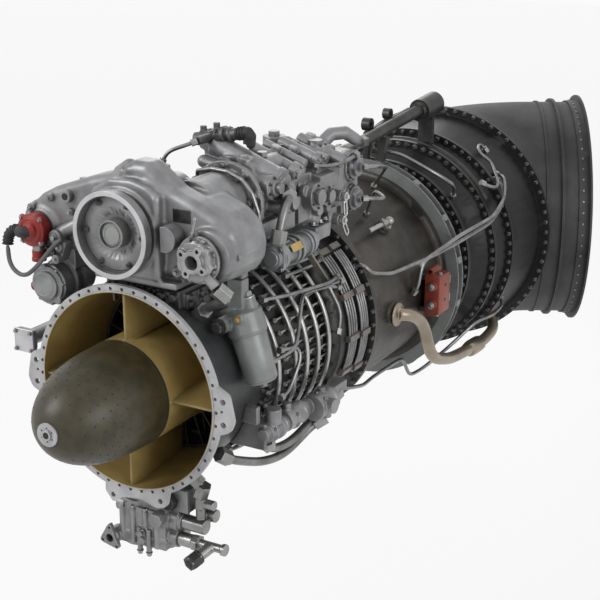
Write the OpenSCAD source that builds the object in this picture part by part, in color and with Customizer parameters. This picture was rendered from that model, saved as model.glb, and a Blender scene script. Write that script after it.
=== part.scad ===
// Turboshaft engine with accessory gearbox and side exhaust.
// The engine axis is Y, the inlet faces -Y and +Z is up; the origin is the centre
// of the inlet flange's front face.

/* [Inlet] */
// Outer radius of the inlet flange
inlet_flange_r = 192; // [190:0.5:196]
// Radius of the inlet flange's bolt circle
inlet_bolt_circle_r = 185; // [184.5:0.5:187]
// Number of bolt holes in the inlet flange
inlet_bolt_count = 48; // [24:2:60]
// Radius of each inlet flange bolt hole
inlet_hole_r = 3.2; // [2.5:0.1:3.6]
// Thickness of the inlet flange
inlet_flange_t = 9; // [7:0.5:12]
// Radius of the intake at its mouth
intake_mouth_r = 178; // [175:0.5:179]
// Radius of the intake at its throat
intake_throat_r = 162; // [158:0.5:165]
// Wall of the intake casing
intake_wall = 8; // [6:0.5:10]
// Length of the inlet frame
inlet_len = 190; // [184:1:196]
// Radius of the hub inside the intake
hub_r = 96; // [92:0.5:100]
// Wall of the hub
hub_wall = 8; // [5:0.5:12]
// Thickness of a strut at its rear end
strut_t = 24; // [22:0.5:30]
// Number of inlet guide vanes
guide_vane_count = 28; // [20:1:32]

/* [Nose] */
// Length of the nose cone
nose_len = 197; // [150:1:230]
// Gap between the hub and the nose cone
nose_gap = 2; // [1:0.5:4]
// Radius of the cap on the nose
nose_cap_r = 16; // [12:0.5:20]

/* [Compressor] */
// Outer radius of the compressor casing
case_r = 170; // [168:0.5:173]
// Wall of the compressor casing
case_wall = 8; // [6:0.5:9]
// Rear end of the compressor casing
case_end_y = 395; // [393:1:400]
// Radius of the casing flanges at the compressor
case_flange_r = 180; // [177:0.5:181]
// Number of compressor stages
stage_count = 10; // [8:1:12]
// Radius over the compressor blades' tips
blade_tip_r = 154; // [150:0.5:156]
// Number of blades in a compressor stage
blade_count = 18; // [14:1:24]

/* [Unison rings] */
// Inner radius of the unison rings
ring_inner_r = 184; // [184:0.5:187]
// Radial thickness of a unison ring
ring_t = 8; // [5:0.5:9]
// Width of a unison ring
ring_w = 9; // [7:0.5:11]
// Length of a vane lever
lever_len = 32; // [31:0.5:33]
// Number of levers on the first ring
first_lever_count = 44; // [30:1:48]
// Gap between a lever and the vane spindle under it
lever_gap = 0.3; // [0.3:0.1:0.6]

/* [Shafts] */
// Radius of the gas generator shaft
gas_shaft_r = 30; // [28:0.5:32]
// Radius of the output shaft
output_shaft_r = 22; // [20:0.5:24]
// Radial clearance of the bearings
bearing_gap = 0.05; // [0.02:0.01:0.08]
// Radius of the output coupling
coupling_r = 48; // [46:1:54]
// Bolt circle radius of the output coupling
coupling_bolt_r = 38; // [37:0.5:40]
// Radius of each bolt hole in the output coupling
coupling_hole_r = 4.1; // [3.5:0.1:5]
// Radius of the tower shaft
tower_r = 7; // [6:0.5:8]
// Side position of the tower shaft along the engine
tower_y = 120; // [116:1:122]

/* [Combustor] */
// Outer radius of the combustor casing
combustor_r = 205; // [202:0.5:207]
// Front end of the combustor casing
combustor_y0 = 530; // [525:1:535]
// Rear end of the combustor casing
combustor_y1 = 853; // [845:1:858]
// Wall of the combustor casing
combustor_wall = 4; // [3:0.5:5]
// Number of fuel nozzles
nozzle_count = 12; // [8:1:16]
// Outer radius of the mount ring
mount_ring_r = 248; // [242:1:252]
// Width of the mount ring
mount_ring_w = 27; // [22:1:32]

/* [Turbines] */
// Position of the second turbine flange pair
flange_d_y = 976; // [970:1:982]
// Position of the third turbine flange pair
flange_e_y = 1063; // [1058:1:1068]
// Position of the fourth turbine flange pair
flange_f_y = 1134; // [1130:1:1138]
// Position of the exhaust flange pair
flange_g_y = 1301; // [1290:1:1312]
// Thickness of each turbine flange
flange_t = 6; // [5:0.5:7]
// Bolt circle radius of the second flange pair
bolt_d_r = 214; // [213.5:0.5:216]
// Bolt circle radius of the third flange pair
bolt_e_r = 243; // [242.5:0.5:245]
// Bolt circle radius of the fourth flange pair
bolt_f_r = 257; // [256.5:0.5:259]
// Bolt circle radius of the exhaust flange pair
bolt_g_r = 285; // [284.5:0.5:287]
// Number of bolts in each of the larger flange pairs
turbine_bolt_count = 72; // [48:4:76]
// Radius of the flange bolts
flange_bolt_r = 2.6; // [2.2:0.1:3]

/* [Exhaust] */
// Outer radius of the exhaust duct
duct_r = 272; // [268:0.5:276]
// Radius of the exhaust bend's centre line
duct_bend_r = 285; // [283:1:300]
// Angle that the exhaust turns through
duct_angle = 62; // [50:1:66]
// Straight length behind the bend
duct_tail = 105; // [90:1:120]
// Wall of the exhaust duct
duct_wall = 2.5; // [2:0.5:4]
// Outer radius of the exhaust lip
lip_r = 290; // [286:0.5:296]
// Outer radius of the output shaft's housing
tunnel_r = 60; // [56:1:64]

/* [Accessory gearbox] */
// Height of the starter pad above the engine axis
starter_z = 286; // [284:0.5:288]
// Outer radius of the starter pad's ring
starter_ring_r = 75; // [70:0.5:78]
// Distance that the starter pad stands forward of the inlet flange
starter_y = -28; // [-34:1:-24]
// Front of the gearbox casing
gearbox_y0 = 28; // [24:1:32]
// Rear of the gearbox casing
gearbox_y1 = 112; // [108:1:116]
// Underside of the gearbox casing
gearbox_z0 = 186; // [185.5:0.5:188]
// Side position of the square pad's bore
pad_x = 156; // [152:0.5:160]
// Height of the square pad's bore
pad_z = 260; // [256:0.5:264]
// Bolt circle radius of the square pad
pad_bolt_r = 23; // [21:0.5:25]
// Radius of the square pad's bore
pad_bore_r = 12; // [9:0.5:14]

/* [Fuel and oil] */
// Radius of the filter bowl
filter_r = 25; // [20:0.5:27]
// Length of the filter bowl
filter_len = 108; // [80:1:116]
// Side position of the filter bowl's rim
filter_x = 179; // [179:0.5:184]
// Radius of the vane actuator's cylinder
actuator_r = 19; // [15:0.5:22]
// Length of the vane actuator's cylinder
actuator_len = 140; // [110:1:150]
// Depth of the bottom oil pump below the engine axis
oil_pump_z = -294; // [-300:1:-288]
// Radius of the bleed pipe
bleed_pipe_r = 13; // [10:0.5:15]

/* [Hidden] */
$fn = 72;

seat_gap = 0.3;
unison_y = [200, 259, 301, 343, 384];
unison_count = [for (i = [0:4]) first_lever_count + 3 * i];
spindle_back = lever_len - 4;
lever_under_r = ring_inner_r - 2.6;
spindle_top_r = lever_under_r - lever_gap;
stage_y0 = 200;
stage_pitch = 288 / stage_count;
drum_front_r = 98;
drum_rear_r = 134;
stator_seat_r = case_r - case_wall - seat_gap;
nose_y = -10 - nose_gap;
tower_gear_r = 14;
gas_gear_r = 50;
starter_gear_r = starter_z - 250;
gear_y = tower_y - tower_gear_r - seat_gap;
duct_y0 = flange_g_y + flange_t;
tail_dir = [sin(duct_angle), cos(duct_angle), 0];
bend_centre = [duct_bend_r, duct_y0, 0];
tail_start = bend_centre + duct_bend_r * [-cos(duct_angle), sin(duct_angle), 0];
shaft_end_y = 1866;

// ---- shared shapes ----

// Turned solid about the engine axis from [radius, y] points
module turned(profile) rotate([-90, 0, 0]) rotate_extrude() polygon(profile);

// Plain ring about the engine axis
module ring(y0, y1, r_out, r_in) {
    turned([[r_in, y0], [r_out, y0], [r_out, y1], [r_in, y1]]);
}

// Copies spaced evenly round the engine axis
module around(count, start = 0) {
    for (i = [0:count - 1]) rotate([0, start + i * 360 / count, 0]) children();
}

// Rods along the three axes, from their first end
module rod_y(at, len, r) translate(at) rotate([-90, 0, 0]) cylinder(h = len, r = r);
module rod_x(at, len, r) translate(at) rotate([0, 90, 0]) cylinder(h = len, r = r);
module rod_z(at, len, r) translate(at) cylinder(h = len, r = r);

// Block given by its two opposite corners
module block(a, b) translate(a) cube(b - a);

// Points the children's Z axis along a direction
module aim(at, dir) {
    translate(at) rotate([0, acos(dir.z / norm(dir)), atan2(dir.y, dir.x)]) children();
}

// Holes through a flange, parallel to the engine axis
module flange_holes(y0, y1, circle_r, count, hole_r, start = 0) {
    around(count, start) translate([0, y0 - 1, circle_r]) rotate([-90, 0, 0])
        cylinder(h = y1 - y0 + 2, r = hole_r, $fn = 20);
}

// Bolt with a head in front of a joint and a nut behind it
module joint_bolt(y0, y1, circle_r, head_r) {
    head_h = 4.5;
    nut_z = head_h + y1 - y0;
    end_z = nut_z + head_h + 2;
    translate([0, y0 - head_h, circle_r]) rotate([-90, 0, 0]) rotate_extrude($fn = 24)
        polygon([[0, 0], [head_r, 0], [head_r, head_h], [flange_bolt_r, head_h],
            [flange_bolt_r, nut_z], [4.6, nut_z], [4.6, end_z], [0, end_z]]);
}

// Bladed rim: a disc or ring with straight blades, as one flat section
module blade_row(y0, len, root_r, tip_r, count, blade_t, bore_r = 0) {
    translate([0, y0, 0]) rotate([-90, 0, 0]) linear_extrude(len) difference() {
        union() {
            circle(root_r);
            for (i = [0:count - 1]) rotate(i * 360 / count)
                translate([root_r - 3, -blade_t / 2]) square([tip_r - root_r + 3, blade_t]);
        }
        if (bore_r > 0) circle(bore_r);
    }
}

// Vane ring: vanes between an outer ring and an optional inner ring
module vane_row(y0, len, seat_r, outer_r, inner_r, count, vane_t, band = 0) {
    translate([0, y0, 0]) rotate([-90, 0, 0]) linear_extrude(len) union() {
        difference() {
            circle(seat_r);
            circle(outer_r);
        }
        for (i = [0:count - 1]) rotate((i + 0.5) * 360 / count)
            translate([inner_r, -vane_t / 2]) square([outer_r - inner_r + 2, vane_t]);
        if (band > 0) difference() {
            circle(inner_r + 1);
            circle(inner_r - band);
        }
    }
}

// Outline with its corners cut to short arcs
function soft(p, r, steps = 3) = [for (i = [0:len(p) - 1])
    let (a = p[(i + len(p) - 1) % len(p)], b = p[i], c = p[(i + 1) % len(p)],
        k = min(r, norm(a - b) / 2.1, norm(c - b) / 2.1),
        s = b + k * (a - b) / norm(a - b), e = b + k * (c - b) / norm(c - b))
    for (j = [0:steps]) let (t = j / steps)
        (1 - t) * (1 - t) * s + 2 * t * (1 - t) * b + t * t * e];

// Plate lying across the engine axis, from an outline of [x, z] points
module plate_y(outline, y0, y1, corner = 6) {
    translate([0, y1, 0]) rotate([90, 0, 0]) linear_extrude(y1 - y0) polygon(soft(outline, corner));
}

// Route with its inner corners rounded by bends of radius about r
function bent(p, r, steps = 2) = concat([p[0]], [for (i = [1:len(p) - 2])
    let (a = p[i - 1], b = p[i], c = p[i + 1],
        k = min(r, norm(a - b) / 2.1, norm(c - b) / 2.1),
        s = b + k * (a - b) / norm(a - b), e = b + k * (c - b) / norm(c - b))
    for (j = [0:steps]) let (t = j / steps)
        (1 - t) * (1 - t) * s + 2 * t * (1 - t) * b + t * t * e], [p[len(p) - 1]]);

function unit(v) = v / norm(v);
function heading(p, i) = unit(p[min(i + 1, len(p) - 1)] - p[max(i - 1, 0)]);
function across(t) = unit(cross(t, abs(t.z) < 0.8 ? [0, 0, 1] : [1, 0, 0]));
function carried(p) = [for (i = 0, t = heading(p, 0), n = across(t); i < len(p);
    i = i + 1, t = heading(p, min(i, len(p) - 1)), n = unit(n - (n * t) * t)) [t, n]];

// Tube swept along a route
module swept(p, r, sides = 8) {
    f = carried(p);
    count = len(p);
    points = [for (i = [0:count - 1]) let (n = f[i][1], b = cross(f[i][0], n))
        for (j = [0:sides - 1]) p[i] + r * (cos(j * 360 / sides) * n + sin(j * 360 / sides) * b)];
    walls = [for (i = [0:count - 2]) for (j = [0:sides - 1]) let (k = (j + 1) % sides)
        [i * sides + j, (i + 1) * sides + j, (i + 1) * sides + k, i * sides + k]];
    polyhedron(points, concat(walls, [[for (j = [0:sides - 1]) j]],
        [[for (j = [sides - 1:-1:0]) (count - 1) * sides + j]]));
}

module pipe(route, r, bend, sides = 8) swept(bent(route, bend), r, sides);

// ---- inlet ----

ear_outline = [[150, -30], [150, 36], [182, 48], [209, 34], [219, -12], [211, -31], [186, -42]];
foot_outline = [[-52, -150], [-56, -200], [-39, -220], [-14, -203], [22, -199], [57, -209],
    [76, -202], [88, -150]];
ear_holes = [[198.5, 21.5, 5.5], [198.5, -19.5, 5.5], [196, 4, 2.5]];
foot_holes = [[-39, -205], [64, -193]];

module strut_blades() {
    lead_y = 4;
    end_y = inlet_len - 42;
    around(4) translate([0, 0, hub_r - 4]) linear_extrude(intake_mouth_r - hub_r + 4)
        polygon([[-2, lead_y], [2, lead_y], [strut_t * 0.3, lead_y + 30], [strut_t / 2, 90],
            [strut_t / 2, end_y], [-strut_t / 2, end_y], [-strut_t / 2, 90],
            [-strut_t * 0.3, lead_y + 30]]);
}

module inlet_frame() color("slategray") {
    inlet_shell();
    difference() {
        inlet_spider();
        rod_z([0, tower_y, 40], 160, tower_r + 1.5);
    }
}

// Front hub with its four struts, fitted inside the casting's air passage
module inlet_spider() {
    seat_r = intake_mouth_r - seat_gap;
    throat_seat_r = intake_throat_r - seat_gap;
    turned([[hub_r - hub_wall, -10], [hub_r, -10], [hub_r, 150], [gas_shaft_r + bearing_gap, 150],
        [gas_shaft_r + bearing_gap, 138], [hub_r - hub_wall, 138]]);
    intersection() {
        strut_blades();
        turned([[hub_r - 2, 0], [seat_r, 0], [seat_r, 14], [throat_seat_r, 130], [throat_seat_r, 160],
            [hub_r - 2, 160]]);
    }
}

module inlet_shell() difference() {
    mouth_wall = 3;
    neck_y = inlet_len - 8;
    union() {
        turned([[intake_mouth_r, -2], [intake_mouth_r + mouth_wall, -2],
            [intake_mouth_r + mouth_wall, 0], [inlet_flange_r, 0], [inlet_flange_r, inlet_flange_t],
            [intake_mouth_r + mouth_wall, inlet_flange_t], [intake_throat_r + intake_wall + 2, 130],
            [case_r, 150], [case_r, neck_y], [case_flange_r, neck_y],
            [case_flange_r, inlet_len], [intake_throat_r, inlet_len], [intake_throat_r, 130],
            [intake_mouth_r, 14]]);
        difference() {
            union() {
                plate_y(ear_outline, 0, inlet_flange_t);
                mirror([1, 0, 0]) plate_y(ear_outline, 0, inlet_flange_t);
                plate_y(foot_outline, 0, inlet_flange_t);
            }
            rod_y([0, -1, 0], inlet_flange_t + 2, inlet_flange_r - 2);
        }
        spindle_row(0);
    }
    flange_holes(-3, inlet_flange_t + 1, inlet_bolt_circle_r, inlet_bolt_count, inlet_hole_r);
    for (s = [-1, 1]) for (h = ear_holes) rod_y([s * h.x, -1, h.y], inlet_flange_t + 2, h.z);
    for (h = foot_holes) rod_y([h.x, -1, h.y], inlet_flange_t + 2, 5);
    rod_z([0, tower_y, 40], 160, tower_r + 1.5);
    flange_holes(inlet_len - 8, inlet_len, case_flange_r - 5, 36, flange_bolt_r + 0.2, 5);
}

function nose_radius(s) = hub_r * pow(1 - pow(s, 2.6), 1 / 2.1);

module nose_cone() color("darkolivegreen") difference() {
    steps = 24;
    wall = 3;
    cap_s = 0.985;
    outer = [for (i = [0:steps]) let (s = cap_s * sin(90 * i / steps))
        [nose_radius(s), nose_y - s * nose_len]];
    inner = [for (i = [steps:-1:0]) let (s = cap_s * sin(90 * i / steps))
        [nose_radius(s) - wall, nose_y - s * (nose_len - wall)]];
    union() {
        turned(concat(outer, inner));
        ring(nose_y - 8, nose_y + nose_gap, hub_r - hub_wall, hub_r - hub_wall - 24);
        ring(nose_y - 8, nose_y - 2, hub_r - 2, hub_r - hub_wall - 2);
    }
    around(6, 30) rod_y([0, nose_y - 20, hub_r - hub_wall - 14], 40, 3);
}

module nose_cap() color("silver") difference() {
    base_y = nose_y - 0.985 * nose_len;
    union() {
        rod_y([0, base_y - 3, 0], 3, nose_radius(0.985));
        rod_y([0, base_y - 6, 0], 3, nose_cap_r * 0.55);
        rod_y([0, base_y, 0], 3, nose_cap_r * 0.6);
    }
    around(6) rod_y([0, base_y - 4, nose_cap_r * 0.75], 2.5, 1.5);
}

module guide_vanes() color("dimgray") {
    vane_row(inlet_len - 36, 16, intake_throat_r - seat_gap, intake_throat_r - 6, hub_r + 2,
        guide_vane_count, 2.5, 3.7);
}

// ---- compressor ----

module spindle_row(i) {
    around(unison_count[i]) translate([0, unison_y[i] - spindle_back, case_r - 4])
        cylinder(h = spindle_top_r - case_r + 4, r = 5, $fn = 24);
}

module ring_pads(i) {
    around(6) translate([-5, unison_y[i] + seat_gap, case_r - 4])
        cube([10, ring_w / 2 - seat_gap, ring_inner_r - seat_gap - case_r + 4]);
}

module compressor_case() color("dimgray") difference() {
    inner_r = case_r - case_wall;
    union() {
        turned([[inner_r, inlet_len], [case_flange_r, inlet_len], [case_flange_r, inlet_len + 6],
            [case_r, inlet_len + 6], [case_r, case_end_y - 6], [case_flange_r, case_end_y - 6],
            [case_flange_r, case_end_y], [inner_r, case_end_y]]);
        for (i = [1:4]) spindle_row(i);
        for (i = [0:4]) ring_pads(i);
        for (s = [-1, 1]) translate([s * case_r - 5, inlet_len + 12, -10])
            cube([10, case_end_y - inlet_len - 22, 20]);
    }
    for (y = [inlet_len, case_end_y - 6])
        flange_holes(y, y + 6, case_flange_r - 5, 36, flange_bolt_r + 0.2, 5);
    rod_y([0, inlet_len - 1, 0], case_end_y - inlet_len + 2, inner_r);
}

module rear_case() color("gray") difference() {
    flange_r = combustor_r + 12;
    liner_r = case_r - case_wall;
    shell_r = combustor_r - 10;
    joint_y = case_end_y + 8;
    union() {
        turned([[liner_r, case_end_y], [case_flange_r, case_end_y], [case_flange_r, joint_y],
            [case_r, joint_y], [case_r, joint_y + 8], [shell_r, joint_y + 16],
            [shell_r, combustor_y0 - 8], [flange_r, combustor_y0 - 8], [flange_r, combustor_y0],
            [shell_r - 5, combustor_y0], [shell_r - 5, joint_y + 22], [liner_r + 5, joint_y + 14],
            [liner_r + 5, 502], [liner_r, 502]]);
        vane_row(488, 12, liner_r + 2, liner_r, drum_rear_r + 2, 30, 3, 8);
        ring(500, 512, drum_rear_r + 2, gas_shaft_r + bearing_gap);
    }
    flange_holes(case_end_y, joint_y, case_flange_r - 5, 36, flange_bolt_r + 0.2, 5);
    flange_holes(combustor_y0 - 8, combustor_y0, combustor_r + 6.5, 48, flange_bolt_r + 0.2);
}

module stator_vanes() color("lightgray") {
    for (i = [0:stage_count - 1]) let (y = stage_y0 + (i + 0.5) * stage_pitch - 1)
        vane_row(y, 10, stator_seat_r, blade_tip_r + 2,
            drum_front_r + (drum_rear_r - drum_front_r) * (i + 0.8) / stage_count + 2, blade_count + 2, 2);
}

module unison_ring(i) color("silver") {
    y = unison_y[i];
    lip_r = lever_under_r - 0.2;
    lip_w = 4;
    turned([[lip_r, y - lip_w], [ring_inner_r, y - lip_w], [ring_inner_r, y - ring_w / 2],
        [ring_inner_r + ring_t, y - ring_w / 2], [ring_inner_r + ring_t, y + ring_w / 2],
        [ring_inner_r, y + ring_w / 2], [ring_inner_r, y], [lip_r, y]]);
    around(unison_count[i]) translate([-2.5, y - lever_len, lever_under_r])
        cube([5, lever_len - 1, 2.5]);
}
module unison_ring_1() unison_ring(0);
module unison_ring_2() unison_ring(1);
module unison_ring_3() unison_ring(2);
module unison_ring_4() unison_ring(3);
module unison_ring_5() unison_ring(4);

gas_disc_y = [905, 950];
gas_tip_r = 186;
gas_end_y = 1020;

module gas_rotor() color("lightsteelblue") {
    turned([[0, gear_y - 20], [gas_shaft_r, gear_y - 20], [gas_shaft_r, gear_y - 7],
        [gas_gear_r, gear_y - 7], [gas_gear_r, gear_y], [gas_shaft_r, gear_y],
        [gas_shaft_r, 180], [drum_front_r - 4, 196],
        [drum_front_r, stage_y0], [drum_rear_r, 484], [gas_shaft_r, 492],
        [gas_shaft_r, gas_end_y], [0, gas_end_y]]);
    for (i = [0:stage_count - 1]) let (y = stage_y0 + i * stage_pitch)
        blade_row(y, 10, drum_front_r + (drum_rear_r - drum_front_r) * i / stage_count + 2,
            blade_tip_r, blade_count, 2.5);
    for (y = gas_disc_y) blade_row(y, 16, 146, gas_tip_r, 32, 5);
}

// ---- combustor ----

module combustor_case() color("saddlebrown") difference() {
    flange_r = combustor_r + 12;
    rim_r = combustor_r + 17;
    feed_hole_r = 5 + seat_gap;
    union() {
        turned([[combustor_r - 14, combustor_y0], [flange_r, combustor_y0], [flange_r, combustor_y0 + 6],
            [combustor_r - 3, combustor_y0 + 6], [combustor_r, combustor_y0 + 22],
            [combustor_r, combustor_y1 - 8], [rim_r, combustor_y1 - 6], [rim_r, combustor_y1],
            [combustor_r - combustor_wall, combustor_y1],
            [combustor_r - combustor_wall, combustor_y0 + 22],
            [combustor_r - combustor_wall - 4, combustor_y0 + 10], [combustor_r - 14, combustor_y0 + 8]]);
        for (a = igniter_angles) rotate([0, a, 0]) translate([0, igniter_y, combustor_r - 3])
            cylinder(h = 10, r = 17);
        translate([combustor_r - 3, 618, -6]) rotate([0, 90, 0]) cylinder(h = 12, r = 24);
    }
    flange_holes(combustor_y0, combustor_y0 + 6, combustor_r + 6.5, 48, flange_bolt_r + 0.2);
    for (a = igniter_angles) rotate([0, a, 0]) translate([0, igniter_y, 150]) cylinder(h = 90, r = 9);
    translate([150, 618, -6]) rotate([0, 90, 0]) cylinder(h = 90, r = bleed_pipe_r - 2);
    rod_z([0, 562, 150], 80, feed_hole_r);
}

igniter_y = 692;
igniter_angles = [44, -44];
liner_outer_r = 190;
liner_inner_r = 125;
dome_y = 578;

module flame_tube() color("peru") difference() {
    wall = 2;
    end_y = 880;
    mid_r = (liner_outer_r + liner_inner_r) / 2;
    union() {
        turned([[mid_r - 8, dome_y], [mid_r + 8, dome_y], [liner_outer_r, dome_y + 26],
            [liner_outer_r, end_y], [liner_outer_r - wall, end_y], [liner_outer_r - wall, dome_y + 28],
            [mid_r + 7, dome_y + wall], [mid_r - 7, dome_y + wall], [liner_inner_r + wall, dome_y + 28],
            [liner_inner_r + wall, end_y], [liner_inner_r, end_y], [liner_inner_r, dome_y + 26]]);
        around(8, 22.5) translate([0, dome_y + 44, liner_outer_r - 1])
            cylinder(h = combustor_r - combustor_wall - seat_gap - liner_outer_r + 1, r = 5, $fn = 24);
    }
    around(nozzle_count) translate([0, dome_y - 1, mid_r]) rotate([-90, 0, 0])
        cylinder(h = 4, r = 6.5);
    around(12, 7.5) translate([0, dome_y + 70, liner_outer_r - 5]) cylinder(h = 10, r = 6, $fn = 20);
    around(12) translate([0, dome_y + 140, liner_outer_r - 5]) cylinder(h = 10, r = 8, $fn = 20);
    for (a = igniter_angles) rotate([0, a, 0]) translate([0, igniter_y, liner_outer_r - 5])
        cylinder(h = 10, r = 7);
}

module fuel_nozzles() color("steelblue") {
    mid_r = (liner_outer_r + liner_inner_r) / 2;
    rotate([-90, 0, 0]) translate([0, 0, 562]) rotate_extrude() translate([mid_r, 0]) circle(4);
    around(nozzle_count) rod_y([0, 562, mid_r], dome_y - 562 + 6, 5);
    rod_z([0, 562, mid_r], combustor_r + 12 - mid_r, 5);
}

module igniters() color("goldenrod") {
    lead_z = combustor_r + 30;
    for (a = igniter_angles) rotate([0, a, 0]) {
        translate([0, igniter_y, 0]) {
            translate([0, 0, liner_outer_r - 6]) cylinder(h = 44, r = 6);
            translate([0, 0, combustor_r + 7]) cylinder(h = 8, r = 14, $fn = 6);
            translate([0, 0, combustor_r + 15]) cylinder(h = 14, r = 8);
            translate([0, 0, combustor_r + 24]) sphere(9);
        }
        rod_y([0, igniter_y - 92, lead_z - 6], 92, 5);
        rod_y([0, igniter_y - 34, lead_z - 6], 16, 7.5);
    }
}

module mount_ring() color("darkseagreen") {
    y0 = combustor_y1;
    y1 = y0 + mount_ring_w;
    seat_r = combustor_r + seat_gap;
    floor_r = combustor_r + 12;
    web = 5;
    turned([[seat_r, y0], [mount_ring_r, y0], [mount_ring_r, y0 + web], [floor_r, y0 + web + 1],
        [floor_r, y1 - web - 1], [mount_ring_r, y1 - web], [mount_ring_r, y1], [seat_r, y1]]);
    around(16, 11.25) block([-7, y0 + web - 1, floor_r - 1], [7, y1 - web + 1, mount_ring_r + 2]);
}

// ---- turbines ----

module turbine_case() color("dimgray") difference() {
    y0 = combustor_y1;
    rim_r = bolt_d_r + 8;
    wall_r = combustor_r;
    inner_r = wall_r - 5;
    turned([[inner_r, y0], [wall_r, y0], [wall_r, flange_d_y - flange_t],
        [rim_r, flange_d_y - flange_t], [rim_r, flange_d_y], [inner_r, flange_d_y]]);
    flange_holes(flange_d_y - flange_t, flange_d_y, bolt_d_r, 64, flange_bolt_r + 0.2);
}

module interstage_case() color("dimgray") difference() {
    d_rim = bolt_d_r + 8;
    e_rim = bolt_e_r + 8;
    d_wall = bolt_d_r - 7;
    e_wall = bolt_e_r - 8;
    turned([[d_wall - 5, flange_d_y], [d_rim, flange_d_y], [d_rim, flange_d_y + flange_t],
        [d_wall, flange_d_y + flange_t], [d_wall + 2, flange_e_y - 40],
        [e_wall, flange_e_y - flange_t - 8], [e_wall, flange_e_y - flange_t],
        [e_rim, flange_e_y - flange_t], [e_rim, flange_e_y], [e_wall - 4, flange_e_y],
        [e_wall - 4, flange_e_y - flange_t - 6], [d_wall - 5, flange_e_y - 34]]);
    flange_holes(flange_d_y, flange_d_y + flange_t, bolt_d_r, 64, flange_bolt_r + 0.2);
    flange_holes(flange_e_y - flange_t, flange_e_y, bolt_e_r, turbine_bolt_count, flange_bolt_r + 0.2);
}

module power_case_front() color("dimgray") difference() {
    e_rim = bolt_e_r + 8;
    f_rim = bolt_f_r + 8;
    e_wall = bolt_e_r - 7;
    f_wall = bolt_f_r - 8;
    inner_r = bolt_e_r - 11;
    turned([[inner_r, flange_e_y], [e_rim, flange_e_y], [e_rim, flange_e_y + flange_t],
        [e_wall, flange_e_y + flange_t], [e_wall, flange_e_y + 40],
        [f_wall, flange_f_y - flange_t - 6], [f_wall, flange_f_y - flange_t],
        [f_rim, flange_f_y - flange_t], [f_rim, flange_f_y], [inner_r, flange_f_y]]);
    flange_holes(flange_e_y, flange_e_y + flange_t, bolt_e_r, turbine_bolt_count, flange_bolt_r + 0.2);
    flange_holes(flange_f_y - flange_t, flange_f_y, bolt_f_r, turbine_bolt_count, flange_bolt_r + 0.2);
}

module power_case_rear() color("dimgray") difference() {
    f_rim = bolt_f_r + 8;
    g_rim = bolt_g_r + 6;
    f_wall = bolt_f_r - 7;
    g_wall = bolt_g_r - 14;
    turned([[f_wall - 4, flange_f_y], [f_rim, flange_f_y], [f_rim, flange_f_y + flange_t],
        [f_wall, flange_f_y + flange_t], [f_wall, flange_f_y + 46],
        [g_wall, flange_g_y - flange_t], [g_rim, flange_g_y - flange_t], [g_rim, flange_g_y],
        [g_wall - 4, flange_g_y], [g_wall - 4, flange_g_y - flange_t - 4],
        [f_wall - 4, flange_f_y + 48]]);
    flange_holes(flange_f_y, flange_f_y + flange_t, bolt_f_r, turbine_bolt_count, flange_bolt_r + 0.2);
    flange_holes(flange_g_y - flange_t, flange_g_y, bolt_g_r, turbine_bolt_count,
        flange_bolt_r + 0.2, 2.5);
}

power_disc_y = [1094, 1142];
power_tip_r = 216;
hot_hub_r = 146;

module turbine_nozzles() color("rosybrown") {
    gas_seat = combustor_r - 5 - seat_gap;
    for (y = [885, 930]) vane_row(y, 14, gas_seat, gas_tip_r + 2, hot_hub_r, 24, 5, 6);
    inter_seat = bolt_d_r - 12 - seat_gap;
    vane_row(990, 34, inter_seat, gas_tip_r + 4, hot_hub_r, 12, 8, 8);
    ring(996, 1016, hot_hub_r - 4, gas_shaft_r + bearing_gap);
    ring(1024, 1044, 60, output_shaft_r + bearing_gap);
    ring(1014, 1026, 90, 56);
    power_seat = bolt_e_r - 11 - seat_gap;
    for (y = [1072, 1116]) vane_row(y, 12, power_seat, power_tip_r + 2, hot_hub_r, 28, 5, 6);
}

module power_rotor() color("lightsteelblue") {
    shaft_y = 1169;
    turned([[0, 1030], [output_shaft_r, 1030], [output_shaft_r, 1090], [60, 1096], [60, 1160],
        [output_shaft_r, shaft_y - seat_gap], [0, shaft_y - seat_gap]]);
    for (y = power_disc_y) blade_row(y, 18, hot_hub_r, power_tip_r, 32, 5);
    difference() {
        turned([[0, shaft_y], [output_shaft_r, shaft_y], [output_shaft_r, shaft_end_y - 10],
            [coupling_r, shaft_end_y - 10], [coupling_r, shaft_end_y], [0, shaft_end_y]]);
        around(6) rod_y([0, shaft_end_y - 12, coupling_bolt_r], 16, coupling_hole_r);
        rod_y([0, shaft_end_y - 30, 0], 40, 12);
    }
}

module shaft_housing() color("darkgray") {
    bore = output_shaft_r + bearing_gap;
    front_y = flange_f_y + 36;
    strut_seat = bolt_f_r - 11 - seat_gap;
    end_y = shaft_end_y - 14;
    tube_y = front_y + 260;
    turned([[bore, front_y + 10], [hot_hub_r - 20, front_y], [hot_hub_r - 10, front_y + 50],
        [tunnel_r, tube_y], [tunnel_r - 8, tube_y], [tunnel_r - 8, tube_y - 10],
        [hot_hub_r - 18, front_y + 48], [hot_hub_r - 26, front_y + 20], [bore, front_y + 26]]);
    turned([[tunnel_r - 8, tube_y + seat_gap], [tunnel_r, tube_y + seat_gap], [tunnel_r, end_y - 20],
        [tunnel_r + 12, end_y - 16], [tunnel_r + 12, end_y - 8], [tunnel_r - 6, end_y], [bore, end_y],
        [bore, end_y - 14], [tunnel_r - 8, end_y - 20]]);
    ring(front_y - 10, front_y + 34, strut_seat, strut_seat - 6);
    for (i = [0:5]) rotate([0, i * 60, 0])
        block([hot_hub_r - 8, front_y + 4, -5], [strut_seat - 3, front_y + 28, 5]);
    difference() {
        ring(front_y + 4, front_y + 28, hot_hub_r - 6, hot_hub_r - 14);
        turned([[0, front_y - 1], [hot_hub_r - 19.9, front_y - 1], [hot_hub_r - 9.7, front_y + 50],
            [0, front_y + 50]]);
    }
}

// ---- exhaust ----

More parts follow.
